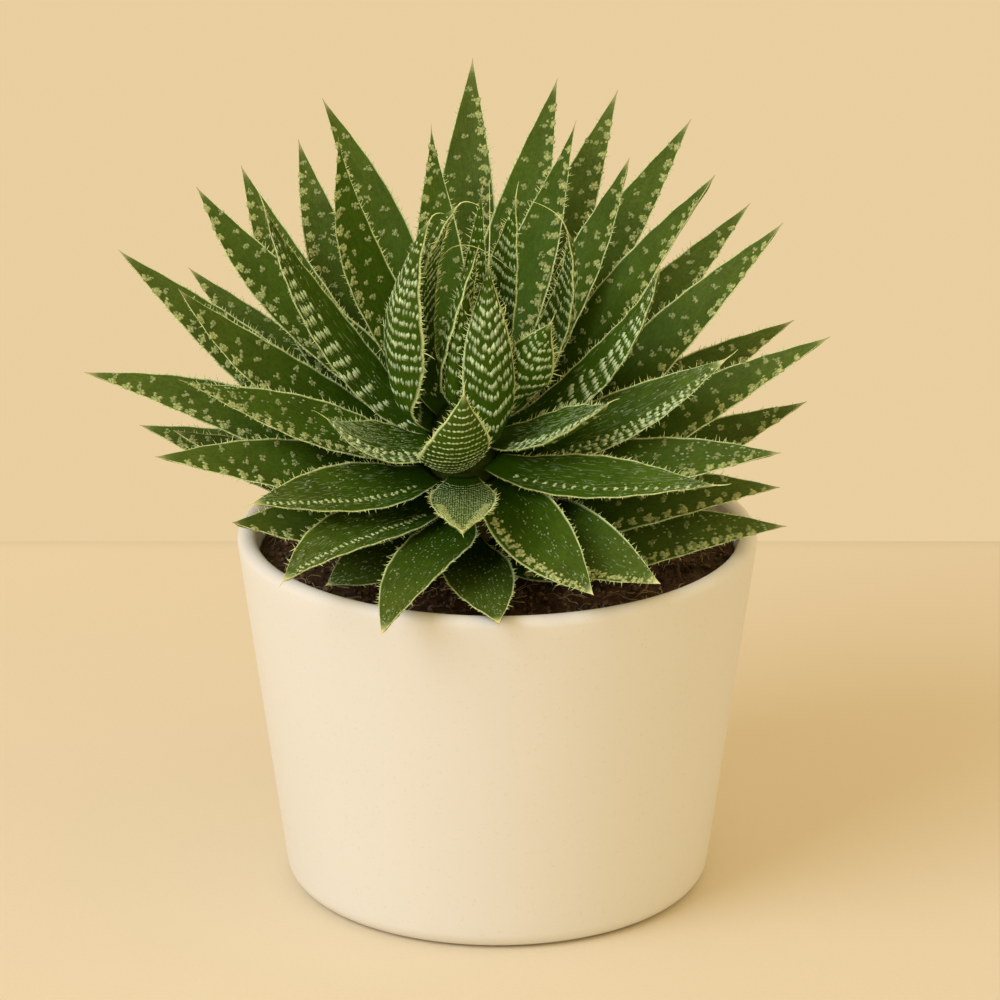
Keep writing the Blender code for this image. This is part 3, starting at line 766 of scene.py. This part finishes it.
def seated(seat, leaf):
    """The blade of a leaf that starts at its seat on the stem."""
    heading = FIRST_HEADING + GOLDEN_ANGLE * seat
    height = LOWEST_SEAT + (HIGHEST_SEAT - LOWEST_SEAT) * seat / (SEATS - 1)
    radius = float(np.interp(height, STEM_HEIGHTS, STEM_RADII)) + SEAT_GAP
    turn = math.radians(heading)
    sharpness = YOUNG_SHARPNESS if seat >= INNER_FROM else OLD_SHARPNESS
    return Blade(leaf, np.array([radius * math.cos(turn), radius * math.sin(turn), height]), heading, sharpness)


longest = max(LEAVES, key=lambda seat: LEAVES[seat].length)
print("longest leaf: seat", longest, "tip at", planted(seated(longest, LEAVES[longest]).centre[-1]).round(1))

# %% [markdown]
# The skin is a grid on the blade: rings of points from edge to edge over the upper face and back along the
# under face. Numbers per point tell the material where the margin is pale and where the tip is dry.

# %% Leaf skin
ROWS, COLUMNS = 70, 32
MARGIN_FROM, MARGIN_WIDTH, MARGIN_PALE, MARGIN_WARM = 0.962, 0.02, 0.95, 0.6
YOUNG_MARGIN = 0.007
TIP_FROM, TIP_WIDTH, TIP_PALE = 0.91, 0.07, 0.6
DRY_FROM, DRY_WIDTH, LEAST_DRY = 0.955, 0.03, 0.25


def finish_values(pale, warm, dry, share, age, across=0.0, along=0.0):
    """The numbers that the leaf material reads at each point."""
    blank = np.zeros(np.broadcast(pale, share).shape)
    return {
        "tone": np.stack([blank + pale, blank + warm, blank + dry], axis=-1),
        "blade": np.stack([blank + across, blank + along, blank + share], axis=-1),
        "age": blank + age,
    }


def skin(blade, age, yellow_tip):
    """The leaf's closed skin. Rings sit closer together towards the tip, and fans close both ends."""
    share, angle = np.meshgrid(np.linspace(0.0, 1.0, ROWS) ** 0.9, full_turn(COLUMNS), indexing="ij")
    out, face = np.cos(angle), np.where(np.sin(angle) > -1e-9, 1.0, -1.0)
    points = blade.point(share, out, face).reshape(-1, 3)
    ends = np.array([points[:COLUMNS].mean(axis=0), points[-COLUMNS:].mean(axis=0)])
    share, out = share.ravel(), out.ravel()
    margin_from = MARGIN_FROM - YOUNG_MARGIN * smooth(1.0 - 2.0 * age)
    margin = smooth((np.abs(out) - margin_from) / MARGIN_WIDTH) * MARGIN_PALE * smooth(share * 12.0)
    tip = yellow_tip * smooth((share - TIP_FROM) / TIP_WIDTH)
    pale, warm = np.maximum(margin, TIP_PALE * tip), np.maximum(MARGIN_WARM, tip)
    dry = (LEAST_DRY + (1.0 - LEAST_DRY) * yellow_tip) * smooth((share - DRY_FROM) / DRY_WIDTH)
    values = finish_values(pale, warm, dry, share, age, out * blade.half(share), share * blade.length)
    values = {key: np.concatenate([numbers, numbers[[0, -1]]]) for key, numbers in values.items()}
    return outward(Part(np.vstack([points, ends]), *closed_grid(ROWS, COLUMNS), values))


print("a leaf's skin has", ROWS * COLUMNS + 2, "points")

# %% [markdown]
# The marks of a lace aloe are small raised warts of pale tissue. They come as loose rows of spots, as short
# lengthwise dashes in close bands, as one row of beads, or as beaded arcs. A painted picture could show them
# too, but raised ones catch the light. All are stamped from one small tick, and each kind is a rule for where
# its ticks lie on one side of a blade. The rules draw random numbers, so no two leaves are alike.

# %% Marks
Side = namedtuple("Side", "blade draw face age")
UPPER, UNDER = 1.0, -1.0
MARKS_FROM, MARKS_TO, MARKS_WITHIN = 0.04, 0.95, 0.94


def marks(side, share, out, sizes, pale, warm):
    """Stamp ticks on a side: sizes are their half length along, half width across and height."""
    keep = (share > MARKS_FROM) & (share < MARKS_TO) & (np.abs(out) < MARKS_WITHIN)
    long, wide, high = ((size + 0.0 * keep)[keep][:, None] for size in sizes)
    share, out, pale = share[keep], out[keep], (pale + 0.0 * share)[keep]
    face = side.face + 0.0 * share
    point, along, across, normal = side.blade.frame(share, out, face)
    axes = np.stack([along * long, across * wide * face[:, None], normal * high], axis=1)
    return stamped(TICK, point, axes, finish_values(pale, warm, 0.0, share, side.age))


def dashes(side, share, out, size, pale, warm, slim=2.0):
    """Small lengthwise dashes of about the given half width, each about slim times as long as wide."""
    grown = size * side.draw.uniform(0.75, 1.25, len(share))
    sizes = (grown * slim * side.draw.uniform(0.75, 1.25, len(share)), grown, 0.4 * grown)
    return marks(side, share, out, sizes, pale * side.draw.uniform(0.7, 1.1, len(share)), warm)


def in_a_row(side, first, last, step, stray):
    """Shares of the length, one every step of millimetres, each off by a normal draw of the stray."""
    length = side.blade.length
    share = np.arange(first * length, last * length, step) / length
    return share + side.draw.normal(0.0, stray, len(share)) / length


def clusters(side, share, out, count, long_spread, wide_spread):
    """Several places round each given one, spread by normal draws in millimetres."""
    share, out = np.repeat(share, count), np.repeat(out, count)
    share = share + side.draw.normal(0.0, long_spread, len(share)) / side.blade.length
    return share, out + side.draw.normal(0.0, wide_spread, len(out)) / side.blade.half(share)


print("marks can be stamped")

# %% [markdown]
# Old leaves are spotted. A spot is a small ragged cluster of dashes. The spots stand in loose rows across the
# leaf and thin out towards its base, and a row of bigger patches runs just inside one edge.

# %% Spots and beads
SPOT_JITTER, SPOTS_TO, SPOTS_WITHIN, SPOTS_FADE = 0.7, 0.94, 0.86, 0.2
SPOT_SPREAD, PATCH_SPREAD = (0.34, 0.44), (0.5, 0.56)
PATCH_AT, BEADS_TO, SPECK_FROM, MARK_SIDES = 0.72, 0.94, 0.2, 0.9


def spots(side, first=0.2, row_step=4.8, column_step=4.4, count=10, pale=0.36):
    """Loose rows of soft spots: a grid of places, each moved by a random part of the step."""
    blade, draw = side.blade, side.draw
    rows = np.arange(first * blade.length, SPOTS_TO * blade.length, row_step)
    rows = rows + draw.uniform(-0.2, 0.2, len(rows)) * row_step
    columns = np.arange(-14.0, 15.0)
    share = rows[:, None] + SPOT_JITTER * row_step * draw.uniform(-0.5, 0.5, (len(rows), len(columns)))
    shift = draw.uniform(0.0, 1.0, len(rows))[:, None]
    reach = (columns + shift + SPOT_JITTER * draw.uniform(-0.5, 0.5, share.shape)) * column_step
    share = share / blade.length
    out = reach / blade.half(share)
    keep = np.abs(out) < SPOTS_WITHIN
    share, out = share[keep], out[keep]
    kept = draw.uniform(0.0, 1.0, len(share)) < smooth((share - first + 0.03) / SPOTS_FADE)
    share, out = clusters(side, share[kept], out[kept], count, *SPOT_SPREAD)
    return dashes(side, share, out, 0.43, pale, warm=0.75, slim=1.3)


def edge_spots(side, edge, step=4.3, first=0.2, last=0.93, count=20, pale=0.5):
    """A row of bigger patches just inside one edge of the leaf."""
    share = in_a_row(side, first, last, step, 0.3)
    share, out = clusters(side, share, edge * PATCH_AT + 0.0 * share, count, *PATCH_SPREAD)
    return dashes(side, share, out, 0.5, pale, warm=1.0, slim=1.3)


def bead_row(side, out_at, step, size, pale, first=0.14):
    """One lengthwise row of beads, at a share of the half width. A bead is a close cluster of dashes."""
    share = in_a_row(side, first, BEADS_TO, step, 0.15)
    out = out_at + side.draw.normal(0.0, 0.15, len(share)) / side.blade.half(share)
    share, out = clusters(side, share, out, 7, 0.22 * size, 0.38 * size)
    wide = 0.42 * size * smooth((1.0 - share) * 5.0 + 0.25)
    return dashes(side, share, out, wide, pale, warm=0.4, slim=1.3)


def streaks(side, count=110, pale=0.2):
    """Faint thin lines along the leaf, at random places."""
    share, out = side.draw.uniform(0.12, 0.9, count), side.draw.uniform(-MARK_SIDES, MARK_SIDES, count)
    return marks(side, share, out, (side.draw.uniform(1.0, 3.2, count), 0.13, 0.05), pale, 0.1)


def specks(side, count):
    """Single small dashes at random places."""
    share, out = side.draw.uniform(SPECK_FROM, 0.94, count), side.draw.uniform(-MARK_SIDES, MARK_SIDES, count)
    return dashes(side, share, out, 0.27, 0.42, warm=0.1)


print("rules for spots, patches, beads, streaks and specks are ready")

# %% [markdown]
# Young leaves are banded. The dashes of a band stand side by side like the teeth of a comb, and the bands lie
# closer together towards the tip. Two leaves at the front wear finer arcs of beads from edge to edge instead.

# %% Bands and arcs
BAND_CROWDING, TICK_STEP, BAND_STRAY, BAND_FILLED = 0.8, 0.68, 0.24, 0.93
DASH_LONG, DASH_WIDE, DASH_HIGH, BAND_WARM = (0.8, 1.5), (0.36, 0.6), 0.09, 0.15
ARCS_FROM, ARCS_TO, ARC_BOW, ARC_WITHIN, BEAD_STEP = 0.1, 0.93, -0.28, 0.92, 1.75


def bands(side, low=-1.0, high=1.0, first=0.06, last=0.95, step=3.4, bow=0.35, scale=1.0, faint=0.45):
    """Close bands of lengthwise dashes. The bands bow: near the edges they lie closer to the tip.

    Their distance shrinks towards the tip, since a row's place grows with the power 0.8 of its number.
    """
    blade, draw = side.blade, side.draw
    columns = np.arange(-16.0, 17.0)
    number = int((last - first) * blade.length / step)
    rows = first + (last - first) * (np.arange(number) / number) ** BAND_CROWDING
    reach = (columns[None, :] + draw.uniform(-0.3, 0.3, (number, len(columns)))) * TICK_STEP * scale
    share = rows[:, None] + draw.uniform(-0.08, 0.08, (number, 1)) * step / blade.length + 0.0 * reach
    out = reach / blade.half(share)
    share = share + (bow * np.abs(reach) + draw.normal(0.0, BAND_STRAY, share.shape)) / blade.length
    keep = (out > low) & (out < high) & (draw.uniform(0.0, 1.0, share.shape) < BAND_FILLED)
    share, out = share[keep], out[keep]
    grown = scale * np.minimum(1.0, 0.3 + blade.half(share) / 6.0)
    long, wide = (draw.uniform(*limits, len(share)) * grown for limits in (DASH_LONG, DASH_WIDE))
    return marks(side, share, out, (long, wide, DASH_HIGH), draw.uniform(faint, 1.0, len(share)), BAND_WARM)


def arcs(side, step, size):
    """Beaded arcs right across the leaf, a bead every 1.75 times its own half width."""
    blade, draw = side.blade, side.draw
    columns = np.arange(-20.0, 21.0)
    rows = np.arange(ARCS_FROM * blade.length, ARCS_TO * blade.length, step)
    reach = (columns[None, :] + draw.uniform(-0.12, 0.12, (len(rows), len(columns)))) * size * BEAD_STEP
    share = rows[:, None] / blade.length + 0.0 * reach
    out = reach / blade.half(share)
    bow = ARC_BOW * np.abs(reach) * np.abs(out)
    share = share + (draw.normal(0.0, 0.14, share.shape) + bow) / blade.length
    keep = np.abs(out) < ARC_WITHIN
    share, out = share[keep], out[keep]
    grown = size * draw.uniform(0.75, 1.15, len(share))
    tint = 0.9 * draw.uniform(0.7, 1.0, len(share))
    return marks(side, share, out, (0.9 * grown, 1.15 * grown, 0.3 * grown), tint, 0.3)


print("rules for bands and arcs are ready")

# %% [markdown]
# Pale bristle teeth stand along both edges. They are stiff and point outwards and towards the tip. A loop over
# the teeth would be slow, so the places, directions and sizes of all of them are drawn as whole arrays.

# %% Teeth
TOOTH_STEP, TOOTH_FROM, TOOTH_TO, TOOTH_KEPT = 1.25, 0.08, 0.975, 0.86
TOOTH_LONG, TOOTH_RADIUS, YOUNG_CROWDING = 1.55, 0.11, 0.55
TOOTH_ROOT, TOOTH_OUT, TOOTH_AHEAD, TOOTH_UP, TOOTH_STRAY = 0.985, 0.8, 0.5, 0.25, 0.3


def teeth(blade, draw, age):
    """Bristles on both edges: a slim four-sided thorn, stamped with its foot inside the edge.

    On young leaves they stand closer, by a share that eases from the young one to 1 at half the age.
    """
    crowding = YOUNG_CROWDING + (1.0 - YOUNG_CROWDING) * smooth(2.0 * age)
    steps = np.arange(TOOTH_FROM * blade.length, TOOTH_TO * blade.length, TOOTH_STEP * crowding)
    share = (np.concatenate([steps, steps]) + draw.normal(0.0, 0.4, 2 * len(steps))) / blade.length
    edge = np.repeat([1.0, -1.0], len(steps))
    kept = draw.uniform(0.0, 1.0, len(share)) < TOOTH_KEPT
    share, edge = share[kept], edge[kept]
    face, thinned = np.full(len(share), UPPER), smooth((1.0 - share) * 5.0)
    foot = blade.point(share, edge * TOOTH_ROOT, face)
    ahead = unit(blade.point(share + STEP, edge, face) - blade.point(share - STEP, edge, face))
    outwards = unit(foot - blade.point(share, 0.0 * edge, face))
    upwards = np.cross(ahead, outwards) * edge[:, None]
    aim = TOOTH_OUT * outwards + TOOTH_AHEAD * ahead + TOOTH_UP * upwards
    aim = unit(aim + draw.normal(0.0, TOOTH_STRAY, foot.shape))
    first = unit(np.cross(aim, ahead))
    second = np.cross(aim, first)
    size = TOOTH_LONG * draw.uniform(0.35, 1.3, len(share)) * (0.45 + 0.55 * thinned)
    thick = TOOTH_RADIUS * (0.6 + 0.4 * thinned) * draw.uniform(0.8, 1.2, len(share))
    axes = np.stack([first * thick[:, None], second * thick[:, None], aim * size[:, None]], axis=1)
    return stamped(BRISTLE, foot, axes, finish_values(1.0, 0.85, 0.0, share, age))


print("teeth stand", TOOTH_STEP, "mm apart on old leaves and", TOOTH_STEP * YOUNG_CROWDING, "mm on the youngest")

# %% [markdown]
# The leaf's flesh is deep green at the base and greyer towards the tip, with clouds and a fine lengthwise
# grain. Warts and teeth are the same tissue without the green, so one material serves the whole leaf and
# reads from the points how pale, how yellow and how dry it is.

# %% Leaf material
DEEP_GREEN, FULL_GREEN, TIP_GREEN = (0.024, 0.074, 0.001), (0.046, 0.098, 0.006), (0.084, 0.130, 0.018)
YOUNG_GREEN = (0.040, 0.094, 0.001)
WART_PALE, WART_WARM, DRY_AWN = (0.66, 0.88, 0.54), (0.86, 0.97, 0.43), (0.86, 0.80, 0.42)
GRAIN_SQUEEZE = (1.0, 0.09, 0.0)


def leaf_finish():
    """Green by share of the length and age, varied by noise, then pale, warm and dry where points say so."""
    material, tree, shader = new_material("leaf", 0.5, Specular_IOR_Level=0.09)
    place = object_place(tree)
    names = ("blade", "tone", "age")
    blade, tone, age = (add(tree, "ShaderNodeAttribute", attribute_name=name) for name in names)
    pale, warm, dry = split(tree, tone.outputs["Vector"])
    share = split(tree, blade.outputs["Vector"])["Z"]
    green = ramp(tree, share, (0.08, DEEP_GREEN), (0.4, FULL_GREEN), (0.95, TIP_GREEN))
    fresh = mix(tree, stretch(tree, age.outputs["Fac"], 0.0, 0.6, 0.85, 0.0), green, YOUNG_GREEN)
    sockets = {0: blade.outputs["Vector"], 1: GRAIN_SQUEEZE}
    grain_place = add(tree, "ShaderNodeVectorMath", sockets, operation="MULTIPLY").outputs[0]
    cloud = drift(tree, place, 55.0, 0.76, 1.24, detail=8.0, roughness=0.68)
    grain = drift(tree, grain_place, 2.6, 0.86, 1.14)
    fine = drift(tree, place, 1100.0, 0.86, 1.14, detail=2.0)
    shade = product(tree, product(tree, cloud, grain), fine)
    flesh = add(tree, "ShaderNodeVectorMath", {0: fresh, "Scale": shade}, operation="SCALE").outputs[0]
    worn = stretch(tree, noise(tree, place, 1300.0, detail=2.0), 0.35, 0.65, 0.62, 1.15)
    shown = product(tree, pale, worn, use_clamp=True)
    speckled = mix(tree, shown, flesh, mix(tree, warm, WART_PALE, WART_WARM))
    tree.links.new(mix(tree, dry, speckled, DRY_AWN), shader.inputs["Base Color"])
    tree.links.new(drift(tree, place, 90.0, 0.48, 0.64), shader.inputs["Roughness"])
    bump(tree, shader, noise(tree, grain_place, 3.4, detail=4.0), 0.22, 0.0005)
    return material


LEAF_GREEN = leaf_finish()
print("leaf material:", len(LEAF_GREEN.node_tree.nodes), "nodes")

# %% [markdown]
# Which marks a leaf wears follows the photograph. Old outer leaves are spotted, some leaves that face the
# front carry one row of beads, and the young leaves of the bulb are closely banded. Every under face is
# banded or spotted too, but for the one that shows in front, which wears arcs.

# %% Leaves
# The seats of each kind. A banded leaf's number is how far its bands bow, a half banded leaf's is the share of
# the half width where they begin, and a beaded leaf's is the distance of its beads in millimetres.
BANDED = {57: 0.3, 58: 0.3, 59: 0.75, 62: 0.3, 63: 0.75, 65: 0.3}
HALF_BANDED = {49: -0.35, 50: -0.05}
BEADED = {27: 1.9, 40: 1.9, 41: 2.5, 46: 2.9, 53: 2.3, 54: 2.3}
SMALL_BEADED, EDGE_BANDED = {53, 54}, {41, 53, 54}
PLAIN, PATCHED, MIXED = {6, 9, 22, 25, 38}, {25, 38}, {4, 33, 45}
ARCED_ABOVE, ARCED_BELOW = 43, 56
YOUNG = {*BANDED, *HALF_BANDED, *BEADED, ARCED_ABOVE, ARCED_BELOW}


def leaf_marks(seat, front, upper, under):
    """All marks of a leaf. Front is the long edge that lies lower in the photograph."""
    if seat in BANDED:
        return [bands(upper, bow=BANDED[seat]), bands(under, bow=BANDED[seat])]
    if seat in HALF_BANDED:
        low, high = sorted((HALF_BANDED[seat] * front, front))
        return [bands(upper, low, high, first=0.08, last=0.97, step=4.0, bow=0.3, scale=1.6, faint=0.85),
                bead_row(upper, 0.0, step=0.9, size=0.22, pale=0.5, first=0.4), specks(upper, 50),
                streaks(upper), bands(under)]
    if seat == ARCED_BELOW:
        return [arcs(under, step=2.7, size=0.55), bands(upper)]
    if seat == ARCED_ABOVE:
        return [arcs(upper, step=1.6, size=0.32), spots(under), edge_spots(upper, 1.0, step=1.6, first=0.5),
                edge_spots(upper, -1.0, step=1.6, first=0.5)]
    if seat in BEADED:
        size, pale, lines, faint = (1.2, 1.0, 400, 0.34) if seat in SMALL_BEADED else (0.9, 0.8, 230, 0.2)
        beads = [bead_row(upper, 0.45 * front, BEADED[seat], size, pale), streaks(upper, lines, faint),
                 specks(upper, 60), spots(under)]
        if seat in EDGE_BANDED:
            low, high = sorted((0.55 * front, front))
            beads.append(bands(upper, low, high, first=0.15, last=0.9, step=2.2, bow=0.2, faint=0.7))
        return beads
    if seat in PLAIN:
        plain = [bead_row(upper, 0.0, step=2.2, size=0.24, pale=0.42), specks(upper, 80), streaks(upper, 50),
                 spots(under)]
        if seat in PATCHED:
            plain.append(edge_spots(upper, front, step=2.4, last=0.95, count=11, pale=0.62))
        return plain
    if seat in MIXED:
        return [specks(upper, 110), edge_spots(upper, front, step=3.2), spots(upper, pale=0.3), bands(under)]
    return [spots(upper), edge_spots(upper, front),
            spots(under, first=0.15, row_step=5.4, column_step=4.6, count=8)]


for seat, leaf in LEAVES.items():
    ring = "outer" if seat < MIDDLE_FROM else "middle" if seat < INNER_FROM else "inner"
    draw, blade = np.random.default_rng(100 + seat), seated(seat, leaf)
    age = 1.0 - seat / (SEATS - 1.0)
    front = 1.0 if math.cos(math.radians(leaf.heading)) < 0.0 else -1.0
    parts = [skin(blade, age, 0.9 if seat in PLAIN | YOUNG else 0.1), teeth(blade, draw, age)]
    parts += leaf_marks(seat, front, *(Side(blade, draw, face, age) for face in (UPPER, UNDER)))
    part = joined(parts)
    piece = make_piece(f"lace_leaf_{seat:02d}", part._replace(points=planted(part.points)), LEAF_GREEN)
    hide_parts(f"{ring}_leaf_{seat:02d}")

# %% [markdown]
# The heart is the growing point: three leaves too young to part, on one small core at the stem's tip.

# %% Heart
HEART_RADIUS, HEART_TOP_RADIUS, HEART_HEIGHT, HEART_SEAT, HEART_CLIMB = 3.2, 1.9, 5.0, 1.0, 0.5


def heart_part():
    """The core, a small turned bud, and the three leaves with their marks and teeth."""
    foot = STEM_HEIGHTS[-1] + SEAT_GAP
    side = np.array([(HEART_TOP_RADIUS, HEART_HEIGHT), (HEART_RADIUS, HEART_HEIGHT / 2.0), (HEART_RADIUS, 0.0)])
    core = turned(side + np.array([0.0, foot]), 24)
    x, _, z = core.points.T
    parts = [core._replace(values=finish_values(0.2, 0.5, 0.0, np.full(len(x), 0.3), 0.0, x, z))]
    draw = np.random.default_rng(300)
    for number, leaf in enumerate(HEART_LEAVES):
        turn = math.radians(leaf.heading)
        height = foot + HEART_HEIGHT / 2.0 + HEART_CLIMB * number
        start = np.array([HEART_SEAT * math.cos(turn), HEART_SEAT * math.sin(turn), height])
        blade = Blade(leaf, start, leaf.heading)
        parts += [skin(blade, 0.0, 0.5), teeth(blade, draw, 0.0)]
        parts += [bands(Side(blade, draw, face, 0.0)) for face in (UPPER, UNDER)]
    part = joined(parts)
    return part._replace(points=planted(part.points))


heart = make_piece("young_heart", heart_part(), LEAF_GREEN)
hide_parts("heart")
print("heart:", len(heart.data.polygons), "faces")

# %% [markdown]
# A young aloe leaf ends in a dry hair. Most are a few millimetres long. A few are long and curl away, and one
# arches from leaf to leaf. Each is one bent tube that starts in its leaf, so none of them floats.

# %% Dry hairs
HAIR_RADIUS, HAIR_TIP, HAIR_STEPS, HAIR_SIDES = 0.16, 0.045, 12, 5
HAIR_ROOT, SHORT_HAIR, EDGE_HAIRS = 1.5, 3.4, 4
LONG_HAIRS = {59: (0.0, 0.0, 19.0), 57: (-9.0, 0.0, 6.5), 63: (4.6, 0.0, -1.0), 58: (2.8, -0.5, 0.5)}
ARCH_FROM, ARCH_TO, ARCH_RISE = (63, 0.62, -0.95), (65, 0.66, -0.95), (-4.0, -9.0, 14.0)


def hair(first, middle, last):
    """A tube that thins along the curve (1 - t) squared first + 2 t (1 - t) middle + t squared last."""
    t = np.linspace(0.0, 1.0, HAIR_STEPS)[:, None]
    path = (1.0 - t) ** 2 * first + 2.0 * t * (1.0 - t) * middle + t ** 2 * last
    part = tube(path, np.linspace(HAIR_RADIUS, HAIR_TIP, HAIR_STEPS), HAIR_SIDES)
    return part._replace(values=finish_values(1.0, 0.8, 0.1, np.ones(len(part.points)), 0.0))


def tip_hair(seat, draw):
    """The hair at a leaf's tip: it leaves in the tip's own direction and then bends to its end."""
    centre = planted(seated(seat, LEAVES[seat]).centre)
    tip, aim = centre[-1], unit(centre[-1] - centre[-5])
    if seat in LONG_HAIRS:
        last = tip + np.array(LONG_HAIRS[seat])
    else:
        last = tip + SHORT_HAIR * draw.uniform(0.6, 1.2) * unit(aim + draw.normal(0.0, 0.3, 3))
    return hair(tip - HAIR_ROOT * aim, tip + 0.5 * np.linalg.norm(last - tip) * aim, last)


def edge_place(seat, share, out):
    """A place on a leaf's upper face, as a point of the finished plant."""
    return planted(seated(seat, LEAVES[seat]).point(*np.array([[share], [out], [UPPER]])))[0]


def edge_hair(seat, draw):
    """A long curly bristle from a random place on an edge."""
    share, edge = draw.uniform(0.35, 0.9), draw.choice([-1.0, 1.0])
    root, inside = edge_place(seat, share, 0.95 * edge), edge_place(seat, share, 0.0)
    aim = unit(unit(root - inside) + draw.normal(0.0, 0.35, 3) + np.array([0.0, 0.0, 0.5]))
    length = draw.uniform(2.0, 4.5)
    curl = unit(aim + draw.normal(0.0, 0.8, 3))
    return hair(root, root + 0.5 * length * aim, root + length * (0.5 * aim + 0.5 * curl))


def all_hairs():
    """Tip hairs of the young leaves, edge hairs of the banded ones, and the arch."""
    draw = np.random.default_rng(71)
    parts = [tip_hair(seat, draw) for seat in sorted(YOUNG)]
    parts += [edge_hair(seat, draw) for seat in sorted(BANDED) for _ in range(EDGE_HAIRS)]
    first, last = edge_place(*ARCH_FROM), edge_place(*ARCH_TO)
    return joined(parts + [hair(first, (first + last) / 2.0 + np.array(ARCH_RISE), last)])


hairs = make_piece("leaf_hairs", all_hairs(), LEAF_GREEN)
print("hairs:", len(hairs.data.polygons), "faces")
